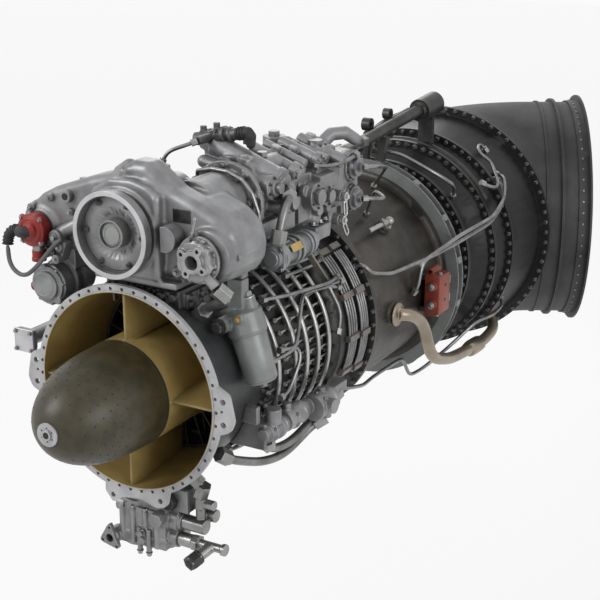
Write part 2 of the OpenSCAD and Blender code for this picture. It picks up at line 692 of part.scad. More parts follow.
// Short straight tube along the duct's outlet
module outlet_tube(r_out, r_in, start, len) {
    aim(tail_start + start * tail_dir, tail_dir) linear_extrude(len) difference() {
        circle(r_out);
        circle(r_in);
    }
}

module exhaust_duct() color("dimgray") difference() {
    inner_r = duct_r - duct_wall;
    union() {
        ring(flange_g_y, duct_y0, bolt_g_r + 6, inner_r - 1.5);
        ring(duct_y0 - 1, duct_y0 + 4, duct_r + 3, duct_r - 1);
        translate(bend_centre) rotate([0, 0, 180 - duct_angle]) rotate_extrude(angle = duct_angle)
            translate([duct_bend_r, 0]) difference() {
                circle(duct_r);
                circle(inner_r);
            }
        outlet_tube(duct_r, inner_r, 0, duct_tail - 8);
        outlet_tube(duct_r + 3, duct_r - 1, -3, 6);
        outlet_tube(duct_r + 9, duct_r - 1, 34, 7);
    }
    rod_y([0, 1500, 0], 400, tunnel_r + seat_gap);
    flange_holes(flange_g_y, duct_y0, bolt_g_r, turbine_bolt_count, flange_bolt_r + 0.2, 2.5);
}

module exhaust_lip() color("gray") {
    sleeve_len = 30;
    seat_len = 7.5;
    rim_t = 5;
    aim(tail_start + duct_tail * tail_dir, tail_dir) rotate_extrude() polygon([
        [duct_r + seat_gap, -sleeve_len], [duct_r + 4, -sleeve_len], [duct_r + 4, -rim_t],
        [lip_r, -rim_t], [lip_r, 0], [duct_r - duct_wall, 0], [duct_r - duct_wall, -seat_len],
        [duct_r + seat_gap, -seat_len]]);
}

module flange_bolts() color("darkslategray") {
    around(64) joint_bolt(flange_d_y - flange_t, flange_d_y + flange_t, bolt_d_r, 4.6);
    around(turbine_bolt_count)
        joint_bolt(flange_e_y - flange_t, flange_e_y + flange_t, bolt_e_r, 5.6);
    around(turbine_bolt_count)
        joint_bolt(flange_f_y - flange_t, flange_f_y + flange_t, bolt_f_r, 4.6);
    around(turbine_bolt_count, 2.5)
        joint_bolt(flange_g_y - flange_t, flange_g_y + flange_t, bolt_g_r, 4.6);
    around(48) joint_bolt(combustor_y0 - 8, combustor_y0 + 6, combustor_r + 6.5, 4.4);
    around(36, 5) joint_bolt(inlet_len - 8, inlet_len + 6, case_flange_r - 5, 4.2);
    around(36, 5) joint_bolt(case_end_y - 6, case_end_y + 8, case_flange_r - 5, 4.2);
}

// ---- accessory gearbox ----

gear_outline = [[-205, 292], [-172, 326], [-82, 362], [-28, 379], [14, 400], [64, 412],
    [104, 400], [150, 381], [186, 364], [211, 337], [229, 306], [231, 280], [217, 250],
    [192, 228], [148, 206], [84, gearbox_z0], [-46, gearbox_z0], [-104, 214], [-196, 262]];
gear_centre = [20, 290];
cover_outline = [for (p = gear_outline) gear_centre + 0.95 * (p - gear_centre)];
starter_shaft_r = 12;
pump_x = 86;
pump_z = 304;
pump_r = 60;
pad_disc_r = 40;
pad_seat_y = 6;
red_cap_at = [-194, 0, 261];
left_pump_at = [-180, 20, 159];
starter_base_y = starter_y + 18;
dish_boss_r = 51;
dish_depth = 13;
valve_z = 384;
filter_y = 110;
filter_z = 107;
filter_tilt = 17.7;
head_top_z = 205;

// Clearance left round the moving vane levers and rings
module ring_clearance() {
    rod_y([0, unison_y[0] - lever_len - 4, 0], case_end_y, ring_inner_r + ring_t + 6);
}

// Copies of an axial piece on a circle round a point
module around_at(at, count, circle_r) {
    translate(at) for (i = [0:count - 1]) rotate([0, i * 360 / count, 0]) translate([0, 0, circle_r])
        rotate([-90, 0, 0]) children();
}

// The space taken by the inlet frame's outer wall
module inlet_wall_space() {
    turned([[0, -1], [intake_mouth_r + 3 + seat_gap, -1],
        [intake_mouth_r + 3 + seat_gap, inlet_flange_t],
        [intake_throat_r + intake_wall + 2 + seat_gap, 130], [case_r + seat_gap, 150],
        [case_r + seat_gap, 200], [0, 200]]);
}

module gearbox_case() color("lightgray") difference() {
    wing_at = [162, 70, 292];
    wing_r = 66;
    arm_at = [-146, 62, 300];
    arm_r = 36;
    union() {
        plate_y(cover_outline, gearbox_y0, gearbox_y1, 14);
        plate_y(gear_outline, gearbox_y0 + 14, gearbox_y1 - 12, 14);
        difference() {
            union() {
                translate(wing_at) sphere(wing_r);
                block([-48, gearbox_y1 - 10, gearbox_z0], [84, 146, 270]);
            }
            rod_y([pump_x, gearbox_y1, pump_z], 60, pump_r + seat_gap);
            rod_y([-40, gearbox_y1, 300], 60, 50 + seat_gap);
        }
        translate(arm_at) sphere(arm_r);
        translate([0, 0, starter_z]) turned([[0, starter_base_y], [67, starter_base_y],
            [69, starter_y + 26], [88, gearbox_y0 + 4], [88, gearbox_y0 + 40], [0, gearbox_y0 + 40]]);
        rod_y([60, 8, 358], gearbox_y1 - 8, 44);
        rod_y([0, gearbox_y1 - 10, starter_z], 74, 58);
        rod_y([pad_x, pad_seat_y, pad_z], 40, pad_disc_r + 2);
        rod_y([red_cap_at.x, red_cap_at.y + 26, red_cap_at.z], 50, 26);
        rod_y([red_cap_at.x, red_cap_at.y + 46, red_cap_at.z], 40, 32);
        rod_y([-126, 12, 326], 30, 12);
        intersection() {
            rod_y([106, -10, 286], 50, 19);
            block([88, -10, 268], [124, 40, 306]);
        }
        block([152, 92, head_top_z], [182, 112, 250]);
        block([-200, 56, 224], [-144, 108, 280]);
        for (x = [-150, -104, -58]) block([x, 36, 320], [x + 6, 104, 372 + x / 4]);
        block([78, 20, 352], [90, 100, 404]);
        rod_x([74, 34, 352], 20, 12);
    }
    ring_clearance();
    rod_y([0, 44, starter_z], 112, 50);
    rod_y([0, starter_base_y - 1, starter_z], 80, starter_shaft_r + bearing_gap);
    rod_y([0, starter_base_y - 1, starter_z], 1 + dish_depth + seat_gap, dish_boss_r + seat_gap);
    rod_z([0, tower_y, gearbox_z0 - 1], 60, tower_r + bearing_gap);
    rod_y([pad_x, pad_seat_y - 20, pad_z], 20, pad_disc_r + seat_gap);
    rod_y([pad_x, pad_seat_y - 1, pad_z], 24, pad_bore_r);
}

module gearbox_saddle() color("dimgray") difference() {
    union() {
        block([-60, 36, 130], [92, 146, gearbox_z0]);
        for (x = [-66, 90]) block([x, 50, 130], [x + 8, 138, gearbox_z0 - 8]);
        for (x = [-40, 0, 44, 74]) rod_y([x, 28, 181], 14, 4.5);
        for (y = [60, 90, 120]) rod_x([96, y, 170], 8, 6);
    }
    inlet_wall_space();
    rod_z([0, tower_y, 100], 100, tower_r + 1.5);
}

module starter_pad() color("gainsboro") translate([0, starter_y, starter_z]) {
    bore_r = starter_shaft_r + bearing_gap;
    base_y = starter_base_y - starter_y;
    rim_r = starter_ring_r - 9;
    floor_y = base_y - 3;
    turned([[bore_r, base_y + dish_depth], [bore_r, base_y + 9], [29, base_y + 9], [48, floor_y],
        [rim_r - 1, floor_y], [rim_r, 0], [starter_ring_r, 0], [starter_ring_r, base_y - 2],
        [67, base_y], [dish_boss_r, base_y], [dish_boss_r, base_y + dish_depth]]);
    around(6, 30) rod_y([0, floor_y - 4, 57], 6, 4.2);
}

module starter_drive() color("silver") translate([0, 0, starter_z]) {
    hub_y = starter_y + 9;
    turned([[0, hub_y], [22, hub_y], [22, hub_y - 5], [25, hub_y - 5],
        [25, starter_base_y + 9 - seat_gap], [0, starter_base_y + 9 - seat_gap]]);
    rod_y([0, hub_y, 0], gear_y + 11 - starter_y, starter_shaft_r);
    rod_y([0, gear_y - 7, 0], 7, starter_gear_r);
}

module tower_shaft() color("silver") {
    low_z = gas_gear_r;
    high_z = starter_z - starter_gear_r;
    rod_z([0, tower_y, low_z], high_z - low_z, tower_r);
    for (z = [low_z, high_z]) rod_z([0, tower_y, z - 6], 12, tower_gear_r);
}

module square_pad() color("silver") difference() {
    front_y = -20;
    turn = 30;
    lug_r = 8;
    body_r = 34;
    union() {
        translate([pad_x, 0, pad_z]) {
            rod_y([0, front_y, 0], 8, pad_bore_r + 7);
            around(4, turn) {
                block([1 - lug_r, front_y, 0], [lug_r - 1, front_y + 8, pad_bolt_r]);
                rod_y([0, front_y, pad_bolt_r], 8, lug_r);
            }
            translate([0, front_y + 7, 0]) rotate([-90, 22.5, 0]) cylinder(h = 14, r = body_r, $fn = 8);
            around(7, turn + 20) rod_y([0, front_y + 9, body_r - 4], 13, 5);
            rod_y([0, front_y + 20, 0], pad_seat_y - front_y - 20, pad_disc_r);
        }
        aim([pad_x + 18, -3, pad_z - 22], [30, 0, -30]) cylinder(h = 26, r = 9);
    }
    translate([pad_x, 0, pad_z]) {
        around(4, turn) rod_y([0, front_y - 1, pad_bolt_r], 10, 3.2);
        rod_y([0, front_y - 1, 0], pad_seat_y - front_y + 2, pad_bore_r);
    }
}

module red_caps() color("firebrick") {
    rod_y(red_cap_at, 26, 29);
    rod_y(red_cap_at - [0, 4, 0], 6, 24);
    translate(red_cap_at) around(24) rod_y([0, 3, 29], 20, 1.2);
    rod_y(left_pump_at + [-16, -20, -4], 14, 9);
    rod_y([-186, 4, 214], 16, 11);
}

elbow_route = [[-217, 13, 256], [-240, 13, 254], [-250, 8, 246], [-250, 4, 226]];
cable_route = [[-250, 4, 226], [-248, 2, 196], [-232, 0, 180], [-212, 0, 176], [-190, -2, 190],
    [-160, 0, 222], [-142, 4, 244], [-132, 11, 252]];

module cap_elbow() color("black") swept(bent(elbow_route, 12, 3), 9, 12);

module sense_cable() color("gray") swept(bent(cable_route, 14, 2), 4);

module left_pump() color("darkgray") {
    r = 34;
    at = left_pump_at;
    rod_y(at + [0, 0, 0], 96, r);
    rod_y(at - [0, 6, 0], 6, r - 8);
    rod_y(at + [0, 60, 0], 8, r + 6);
    rod_y(at + [0, 96, 0], 30, r - 14);
    block([at.x - 20, 60, at.z + r - 10], [at.x + 34, 114, 224]);
    for (dz = [-20, -8, 4, 16]) block([at.x - r - 8, at.y + 20, at.z + dz], [at.x, at.y + 54, at.z + dz + 4]);
    rod_y([-186, 20, 214], 40, 8);
}

module left_port() color("dimgray") difference() {
    at = [-268, 52, 30];
    union() {
        plate_y([[at.x - 22, at.z - 22], [at.x - 22, at.z + 22], [at.x + 22, at.z + 22],
            [at.x + 22, at.z - 22]], at.y, at.y + 8, 8);
        rod_y(at, 90, 15);
        rod_x([at.x, at.y + 75, at.z], 110, 15);
        block([at.x + 70, 90, 0], [at.x + 110, 160, 60]);
    }
    inlet_wall_space();
    for (dx = [-14, 14]) for (dz = [-14, 14]) rod_y([at.x + dx, at.y - 1, at.z + dz], 10, 3.2);
    rod_y(at - [0, 1, 0], 30, 10);
}

// ---- fuel system ----

actuator_at = [178, 196, 216];
lever_pivots = [[168, 470, 266], [168, 462, 222]];
pressure_caps = [[150, 533, 310], [150, 534, 248]];

module fuel_pump() color("silver") difference() {
    y0 = gearbox_y1;
    ring_y = 192;
    y1 = 330;
    union() {
        rod_y([pump_x, y0, pump_z], ring_y - y0, pump_r);
        rod_y([pump_x, ring_y, pump_z], 10, 74);
        around_at([pump_x, ring_y - 5, pump_z], 10, 68) cylinder(h = 6, r = 6, $fn = 6);
        translate([pump_x, 0, pump_z]) turned([[0, ring_y + 9], [66, ring_y + 9], [52, ring_y + 60],
            [52, y1 - 12], [58, y1 - 10], [58, y1], [0, y1]]);
        rod_x([110, 236, 330], 48, 22);
        rod_x([156, 236, 330], 10, 15);
        rod_x([110, 292, 292], 52, 19);
        rod_y([60, 214, 344], 116, 22);
        rod_y([104, 226, 350], 104, 20);
        rod_z([64, 250, 340], 36, 16);
        block([4, 250, 320], [40, 276, valve_z]);
        block([100, 200, 238], [150, 324, 270]);
        rod_y([-40, y0, 300], ring_y - y0 + 40, 38);
        rod_y([-40, y0, 300], 14, 50);
        rod_z([-40, 180, 330], 30, 16);
        block([-78, 150, 270], [-60, 210, 330]);
        block([-40, 216, 270], [40, 226, 330]);
        block([118, 226, 206], [150, 240, 262]);
        block([118, 262, 206], [150, 276, 262]);
        block([136, 226, 200], [188, 240, 240]);
        block([136, 262, 200], [188, 276, 240]);
    }
    rod_y([0, y0 - 1, starter_z], 68, 58 + seat_gap);
    rod_y([actuator_at.x, y0, actuator_at.z], 180, actuator_r + seat_gap);
    ring_clearance();
}

module fuel_control() color("lightgray") difference() {
    y0 = 330;
    union() {
        rod_y([84, y0, 292], 14, 50);
        block([4, y0 + 12, 238], [146, 520, 328]);
        rod_y([40, y0 + 12, 322], 170, 28);
        rod_y([108, y0 + 20, 316], 120, 24);
        rod_z([70, 376, 320], 32, 26);
        rod_z([30, 450, 330], 42, 22);
        rod_z([108, 470, 318], 40, 24);
        rod_x([130, 372, 286], 40, 26);
        rod_x([130, 424, 276], 34, 20);
        block([96, 500, 222], [150, 566, 336]);
        rod_y([60, 516, 284], 56, 38);
        rod_y([20, 516, 276], 90, 26);
        block([-26, 540, 247], [80, 612, 300]);
        rod_z([30, 580, 296], 34, 20);
        rod_x([-60, 400, 290], 70, 30);
        rod_x([-74, 400, 290], 16, 20);
        rod_x([-50, 470, 280], 60, 24);
        block([-20, 570, combustor_r + 4], [20, 600, 256]);
        block([118, 446, 214], [152, 478, 244]);
        for (p = lever_pivots) {
            rod_x([130, p.y, p.z], p.x - 130, 11);
            rod_x([p.x - 2, p.y, p.z], 12, 5);
        }
    }
    rod_y([0, 540, 0], 100, combustor_r + seat_gap);
}

module control_caps() color("whitesmoke") {
    for (p = pressure_caps) {
        rod_x(p, 12, 24);
        rod_x(p + [12, 0, 0], 8, 18);
        rod_x(p + [20, 0, 0], 7, 8);
    }
    translate([70, 376, 352]) cylinder(h = 8, r = 15);
    translate([30, 450, 372]) cylinder(h = 9, r = 12, $fn = 6);
    translate([108, 470, 358]) cylinder(h = 10, r = 14);
    translate([60, 232, 366]) cylinder(h = 8, r = 12, $fn = 6);
    translate([104, 286, 370]) cylinder(h = 9, r = 10, $fn = 6);
    rod_x([170, 372, 286], 9, 15);
    rod_x([164, 424, 276], 8, 12);
    rod_x([166, 236, 330], 8, 9);
    rod_x([162, 292, 292], 8, 12);
}

// Lever with a clamping hub, a slotted arm and a short tail
module slotted_lever(pivot, arm, turn) {
    translate(pivot + [seat_gap, 0, 0]) rotate([turn, 0, 0]) difference() {
        union() {
            rotate([0, 90, 0]) cylinder(h = 8, r = 10);
            block([0, -7, 0], [4, 7, arm]);
            translate([0, 0, arm]) rotate([0, 90, 0]) cylinder(h = 4, r = 7);
            block([0, -6, -20], [4, 6, 0]);
        }
        translate([-1, 0, 0]) rotate([0, 90, 0]) cylinder(h = 12, r = 5 + bearing_gap);
        block([-1, -2.2, arm * 0.45], [6, 2.2, arm]);
        translate([-1, 0, arm]) rotate([0, 90, 0]) cylinder(h = 8, r = 3);
    }
}
module throttle_lever() color("silver") slotted_lever(lever_pivots[0], 46, 15);
module governor_lever() color("silver") slotted_lever(lever_pivots[1], 38, 140);

module start_valve() color("dimgray") {
    foot_y = 250;
    low = [-22, 264, valve_z + 9];
    lean = [90, 0, 18];
    middle = low + 0.5 * lean;
    aim(low, lean) cylinder(h = 62, r = 12);
    aim(low + 0.16 * lean, lean) cylinder(h = 8, r = 15);
    aim(low + 0.65 * lean, lean) cylinder(h = 8, r = 17);
    aim(low + 0.7 * lean, lean) cylinder(h = 28, r = 11);
    aim(low + 1.0 * lean, lean) cylinder(h = 24, r = 9);
    rod_z(low + 1.2 * lean - [0, 0, 20], 20, 7);
    block([2, foot_y, valve_z], [36, foot_y + 28, valve_z + 14]);
    rod_z(middle, 25, 6);
    rod_y([16, foot_y - 38, valve_z + 18], 50, 8);
}

// Places the children at the rim of the leaning filter bowl
module filter_frame() translate([filter_x, filter_y, filter_z]) rotate([0, -filter_tilt, 0]) children();

module filter_head() color("gray") difference() {
    union() {
        filter_frame() {
            rod_z([0, 0, 0], 14, filter_r + 4);
            rod_z([0, 0, 10], 32, filter_r - 2);
            block([-30, -22, 12], [4, 22, 48]);
            rod_y([-16, -44, 28], 30, 13);
            rod_y([-16, -52, 28], 10, 9);
            rod_y([4, -30, 24], 14, 7);
            rod_z([12, 0, 40], 10, 12);
            translate([12, 0, 49]) cylinder(h = 9, r = 10, $fn = 6);
        }
        block([152, 90, 140], [182, 112, head_top_z]);
    }
    inlet_wall_space();
}

module filter_bowl() color("gray") filter_frame() {
    rod_z([0, 0, 6 - filter_len], filter_len - 6, filter_r);
    rod_z([0, 0, -filter_len], 7, filter_r - 6);
    rod_z([0, 0, -14], 8, filter_r + 2);
    translate([0, 0, -filter_len - 9]) cylinder(h = 10, r = 8, $fn = 6);
    rod_z([0, 0, -filter_len - 14], 6, 5);
}

module vane_actuator() color("darkseagreen") {
    at = actuator_at;
    plate_y([[at.x - 23, at.z - 23], [at.x - 23, at.z + 23], [at.x + 23, at.z + 23],
        [at.x + 23, at.z - 23]], at.y, at.y + 8, 10);
    rod_y(at - [0, 8, 0], 9, 14);
    rod_y(at + [0, 7, 0], actuator_len - 14, actuator_r);
    rod_y(at + [0, actuator_len - 40, 0], 7, actuator_r + 5);
    rod_y(at + [0, actuator_len - 28, 0], 7, actuator_r + 5);
    rod_y(at + [0, actuator_len - 8, 0], 22, 10);
}

module side_pumps() color("gray") difference() {
    at = [202, 128, -84];
    union() {
        rod_y(at, 56, 17);
        rod_y(at - [0, 10, 0], 11, 12);
        rod_y(at + [0, 30, 0], 12, 21);
        rod_y(at + [4, 55, 4], 62, 20);
        rod_y(at + [4, 116, 4], 34, 14);
        rod_y([218, 268, -84], 62, 25);
        rod_y([218, 329, -84], 10, 18);
        rod_z([220, 314, -116], 26, 11);
        rod_x([232, 290, -80], 22, 14);
        rod_z([206, 150, -70], 28, 14);
        block([120, 126, -116], [at.x, 158, -66]);
        block([150, 110, -62], [196, 122, -30]);
        block([204, 322, -92], [218, 402, -72]);
        block([160, 390, -92], [218, 402, -72]);
    }
    inlet_wall_space();
    rod_y([0, 380, 0], 100, combustor_r - 10 + seat_gap);
    ring_clearance();
}

module oil_pump() color("lightgray") difference() {
    z = oil_pump_z;
    floor_z = z - 20;
    port_at = [-64, z - 12];
    union() {
        block([-50, 42, z + 30], [46, 122, -140]);
        block([-52, 36, floor_z], [46, 116, z + 54]);
        rod_z([-30, 66, floor_z - 6], 90, 30);
        rod_z([18, 76, floor_z - 6], 90, 28);
        for (x = [-48, -24, 4, 28]) rod_z([x, 36, floor_z + 2], 66, 6);
        for (x = [-8, 12]) rod_z([x, 32, floor_z - 8], 46, 5);
        block([-56, 34, z - 4], [50, 118, z + 2]);
        rod_y([0, 24, z - 6], 20, 7);
        rod_x([40, 62, z + 36], 26, 22);
        rod_x([60, 62, z + 36], 12, 17);
        rod_y([36, 24, z + 46], 30, 13);
        translate([36, 18, z + 46]) rotate([-90, 0, 0]) cylinder(h = 12, r = 15, $fn = 6);
        block([44, 50, z + 58], [86, 84, -190]);
        rod_x([40, 58, z + 2], 24, 17);
        plate_y([[port_at.x, port_at.y + 33], [port_at.x - 25, port_at.y - 10],
            [port_at.x + 22, port_at.y - 20]], 14, 24, 10);
        rod_y([port_at.x, 22, port_at.y], 26, 15);
        block([port_at.x - 6, 36, port_at.y - 12], [-40, 60, port_at.y + 12]);
        rod_x([-80, 70, z + 34], 36, 14);
    }
    inlet_wall_space();
    rod_y([port_at.x, 13, port_at.y], 20, 8);
    for (h = [[0, 21], [-16, -7], [15, -14]]) rod_y([port_at.x + h.x, 13, port_at.y + h.y], 12, 2.6);
}

module oil_fittings() color("silver") {
    z = oil_pump_z;
    stub_z = z + 2;
    rod_x([72, 62, z + 36], 46, 14);
    rod_x([90, 84, z + 50], 36, 12);
    rod_z([104, 66, z + 48], 40, 9);
    rod_z([104, 66, z + 70], 22, 12);
    rod_x([104, 66, z + 80], 30, 9);
    rod_x([64, 58, stub_z], 30, 13);
    rod_x([64, 58, stub_z], 66, 9);
    translate([94, 58, stub_z]) rotate([0, 90, 0]) cylinder(h = 12, r = 16, $fn = 6);
    aim([130, 62, stub_z], [-14, -54, -14]) {
        cylinder(h = 40, r = 10);
        translate([0, 0, 34]) cylinder(h = 24, r = 14, $fn = 6);
    }
    rod_x([126, 60, stub_z], 30, 8);
    rod_x([152, 60, stub_z], 8, 11);
}

// ---- hot end fittings and pipes ----

module ignition_box() color("indianred") difference() {
    x0 = combustor_r + 12;
    union() {
        block([x0, 748, -42], [x0 + 34, 822, 42]);
        for (z = [-44, 28]) block([combustor_r - 25, 756, z], [x0 + 4, 814, z + 12]);
        for (z = [-24, 0, 24]) rod_x([x0 + 33, 770, z], 9, 9);
        rod_y([x0 + 18, 734, 20], 15, 9);
        rod_y([x0 + 18, 734, -20], 15, 9);
    }
    rod_y([0, 700, 0], 200, combustor_r + seat_gap);
}

bleed_seat_x = combustor_r + 9;
bleed_route = [[bleed_seat_x + 6, 618, -6], [236, 636, -8], [242, 690, -36], [242, 718, -100],
    [240, 752, -142], [232, 860, -180], [226, 980, -198], [220, 1100, -210], [216, 1166, -200],
    [186, 1192, -172]];

module bleed_pipe() color("tan") {
    pipe(bleed_route, bleed_pipe_r, 34);
    translate([bleed_seat_x, 618, -6]) rotate([0, 90, 0]) cylinder(h = 7, r = 24);
    aim(bleed_route[6], bleed_route[7] - bleed_route[6]) cylinder(h = 74, r = bleed_pipe_r + 5);
}

bundle_rows = [[200, [444, 453, 462, 471]], [205, [484, 492, 500, 508]]];
bundle_r = 3;
bundle_start = 44;
bundle_sweep = 72;

module tube_bundles() color("silver") {
    for (row = bundle_rows) for (y = row[1]) translate([0, y, 0])
        rotate([90, 0, 0]) rotate([0, 0, 90 - bundle_start - bundle_sweep])
            rotate_extrude(angle = bundle_sweep) translate([row[0], 0]) circle(bundle_r, $fn = 16);
}

module pipe_clamps() color("tan") {
    shell_r = combustor_r - 10;
    for (a = [bundle_start - 3, bundle_start + 24, bundle_start + 48, bundle_start + bundle_sweep - 3])
        rotate([0, a, 0]) {
            block([-6, 438, shell_r + seat_gap], [6, 476, 206]);
            block([-6, 480, shell_r + seat_gap], [6, 512, 211]);
        }
    aim([175, 322, actuator_at.z - actuator_r - 0.5], [2, 74, -80]) block([-2, -7, 0], [2, 7, 104]);
}

// Routes of the pipes: thick oil pipes
oil_routes = [
    [[193, -4, 219], [204, 4, 206], [196, 22, 190], [150, 46, 170], [113, 60, 142]],
    [[104, 66, -201.7], [108, 66, -190], [100, 64, -172], [87, 62, -160]],
    [[166, 34, -92], [176, 60, -112], [182, 145, -150], [184, 224, -166], [200, 296, -132],
        [220, 314, -117]],
    [[196, 140, -101], [188, 166, -132], [190, 232, -146], [198, 300, -122], [209, 384, -92.3]],
    [[-60, 110, -178], [-110, 190, -182], [-160, 300, -170], [-232, 430, -40], [-198, 466, -30]],
    [[-184, 150, 150], [-196, 220, 150], [-190, 340, 130], [-196, 420, 124], [-170, 452, 104]],
    [[162, 270, 318], [178, 254, 314], [180, 226, 284], [178, 212, 236]],
    [[60, 572.3, 300], [60, 640, 308], [54, 720, 306], [44, 795, 300]]];
// Thin fuel and control pipes
fuel_routes = [
    [[177, 160, 150], [181, 230, 138], [190, 383, 122], [178, 436, 118]],
    [[16, 211.7, 402], [2, 200, 396], [-30, 184, 384], [-40, 180, 360.3]],
    [[177.3, 533, 310], [188, 570, 306], [166, 660, 284], [124, 740, 262], [70, 790, 204]],
    [[177.3, 534, 248], [196, 556, 246], [196, 600, 236], [150, 640, 240], [120, 660, 176]],
    [[182, 436, 96], [178, 401, 108], [174, 306, 120], [204, 238, 60], [210, 211, 46], [196, 158, 40]],
    [[180, 450, 106], [178, 396, 112], [188, 402, 89], [203, 405, 58], [207, 384, 22]],
    [[208, 170, -30], [206, 204, -30], [210, 238, 23], [204, 240, 42], [204, 173, 58]],
    [[150, 279, 156], [154, 338, 153], [155, 400, 151], [139.3, 437.7, 148.3]],
    [[140, 279, 168], [144, 350, 164], [146, 410, 164], [132.9, 437.7, 161.3]],
    [[70, 376, 360.3], [78, 392, 372], [116, 424, 362], [146, 440, 336]],
    [[-90, 170, 300], [-130, 240, 270], [-170, 330, 220], [-170, 420, 120], [-163, 446, 113]],
    [[150, 386, 340], [160, 430, 330], [166, 500, 330], [168, 530, 336]],
    [[0, 562, 217.3], [0, 562, 232], [0, 566, 249.7]]];
// Pipes on the hot casings
hot_routes = [
    [[163, 517, 109], [187, 517, 125], [204, 524, 104], [212, 600, 84], [224, 790, 78],
        [246, 846, 92], [254, 1010, 98], [250, 1092, 122], [232, 1130, 158], [198, 1168, 162]],
    [[210, 706, 12], [222, 706, 30], [224, 716, 80], [234, 790, 92], [252, 846, 110],
        [260, 1010, 114], [254, 1090, 138], [234, 1136, 176], [190, 1184, 170]],
    [[20, 886, 262], [80, 900, 258], [140, 930, 220], [170, 956, 196], [176, 990, 176],
        [158, 1014, 143]],
    [[168, 408, -100], [182, 476, -124], [172, 560, -150], [152, 643, -164], [151, 790, -168],
        [152, 822, -224], [152, 896, -230], [190, 940, -190], [232, 1006, -136], [244, 1075, -140],
        [240, 1150, -136], [222, 1168, -118]],
    [[-100, 556, -186], [-110, 600, -202], [-112, 760, -210], [-112, 900, -234], [-116, 1060, -262],
        [-118, 1146, -262], [-110, 1176, -228]],
    [[-206, 604, 40], [-232, 640, 60], [-250, 850, 100], [-258, 1040, 110], [-258, 1146, 122],
        [-224, 1176, 118]],
    [[-60, 886, 260], [-120, 910, 246], [-180, 960, 196], [-200, 1000, 150], [-172, 1014, 122]],
    [[214, 1040, 180], [234, 1070, 162], [234, 1104, 162], [202, 1130, 208], [178, 1142, 214],
        [152, 1160, 228], [144, 1200, 232], [155.8, 1216, 211.4]]];
oil_pipe_r = 8;
fuel_pipe_r = 3.6;
hot_pipe_r = 4;

module oil_pipes() color("gray") for (route = oil_routes) pipe(route, oil_pipe_r, 30);
module fuel_pipes() color("silver") for (route = fuel_routes) pipe(route, fuel_pipe_r, 16, 6);
module hot_pipes() color("silver") for (route = hot_routes) pipe(route, hot_pipe_r, 20, 6);

module end_nuts(route, r) {
    last = len(route) - 1;
    aim(route[0], route[1] - route[0]) cylinder(h = r * 3.2, r = r * 1.8, $fn = 6);
    aim(route[last], route[last - 1] - route[last]) cylinder(h = r * 3.2, r = r * 1.8, $fn = 6);
}

module pipe_nuts() color("silver") {
    for (route = oil_routes) end_nuts(route, oil_pipe_r);
    for (route = fuel_routes) end_nuts(route, fuel_pipe_r);
    for (route = hot_routes) end_nuts(route, hot_pipe_r);
}

module top_conduit() color("darkgray") difference() {
    tube_dir = [14, 260, 30];
    cylinder_at = [56, 1046, 326];
    clip_r = bolt_e_r + 9;
    union() {
        aim([44, 796, 300], tube_dir) cylinder(h = 256, r = 13);
        aim([18, 860, 300], tube_dir) cylinder(h = 190, r = 9);
        aim(cylinder_at, tube_dir) cylinder(h = 72, r = 26);
        aim(cylinder_at - [0, 12, 0], tube_dir) cylinder(h = 14, r = 19);
        rotate([0, 11.25, 0]) block([-9, 857, mount_ring_r + 2], [9, 873, 306]);
        block([38, 1080, clip_r - 4], [74, 1090, 326]);
        rotate([0, 3.5, 0]) block([-5, 858, mount_ring_r + seat_gap], [5, 872, 320]);
        rod_x([8, 865, 322], 18, 14);
        rod_x([10, 960, 330], 16, 12);
        block([12, 954, 306], [22, 966, 330]);
        translate([0, flange_e_y + flange_t + 16, 0]) rotate([90, 0, 0]) rotate([0, 0, 32])
            rotate_extrude(angle = 64) translate([bolt_e_r + 3, 0]) circle(8.5, $fn = 24);
    }
    rod_x([0, 865, 322], 40, 6);
    rod_x([0, 960, 330], 40, 5);
    rod_y([0, flange_e_y + flange_t, 0], 40, bolt_e_r - 7 + seat_gap);
}

// ---- model ----

inlet_frame();
nose_cone();
nose_cap();
guide_vanes();
compressor_case();
rear_case();
stator_vanes();
unison_ring_1();
unison_ring_2();
unison_ring_3();
unison_ring_4();
unison_ring_5();
gas_rotor();
combustor_case();
flame_tube();
fuel_nozzles();
igniters();
mount_ring();
turbine_case();
interstage_case();
power_case_front();
power_case_rear();
turbine_nozzles();
power_rotor();
shaft_housing();
exhaust_duct();
exhaust_lip();
flange_bolts();
gearbox_case();
gearbox_saddle();
starter_pad();
starter_drive();
tower_shaft();
square_pad();
red_caps();
cap_elbow();
sense_cable();
left_pump();
left_port();
fuel_pump();
fuel_control();
control_caps();
throttle_lever();
governor_lever();
start_valve();
filter_head();
filter_bowl();
vane_actuator();
side_pumps();
oil_pump();
oil_fittings();
ignition_box();
bleed_pipe();
tube_bundles();
oil_pipes();
fuel_pipes();
hot_pipes();
pipe_nuts();
pipe_clamps();
top_conduit();
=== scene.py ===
import bpy
import bmesh
from math import cos, pi, radians, sin
from mathutils import Matrix, Vector


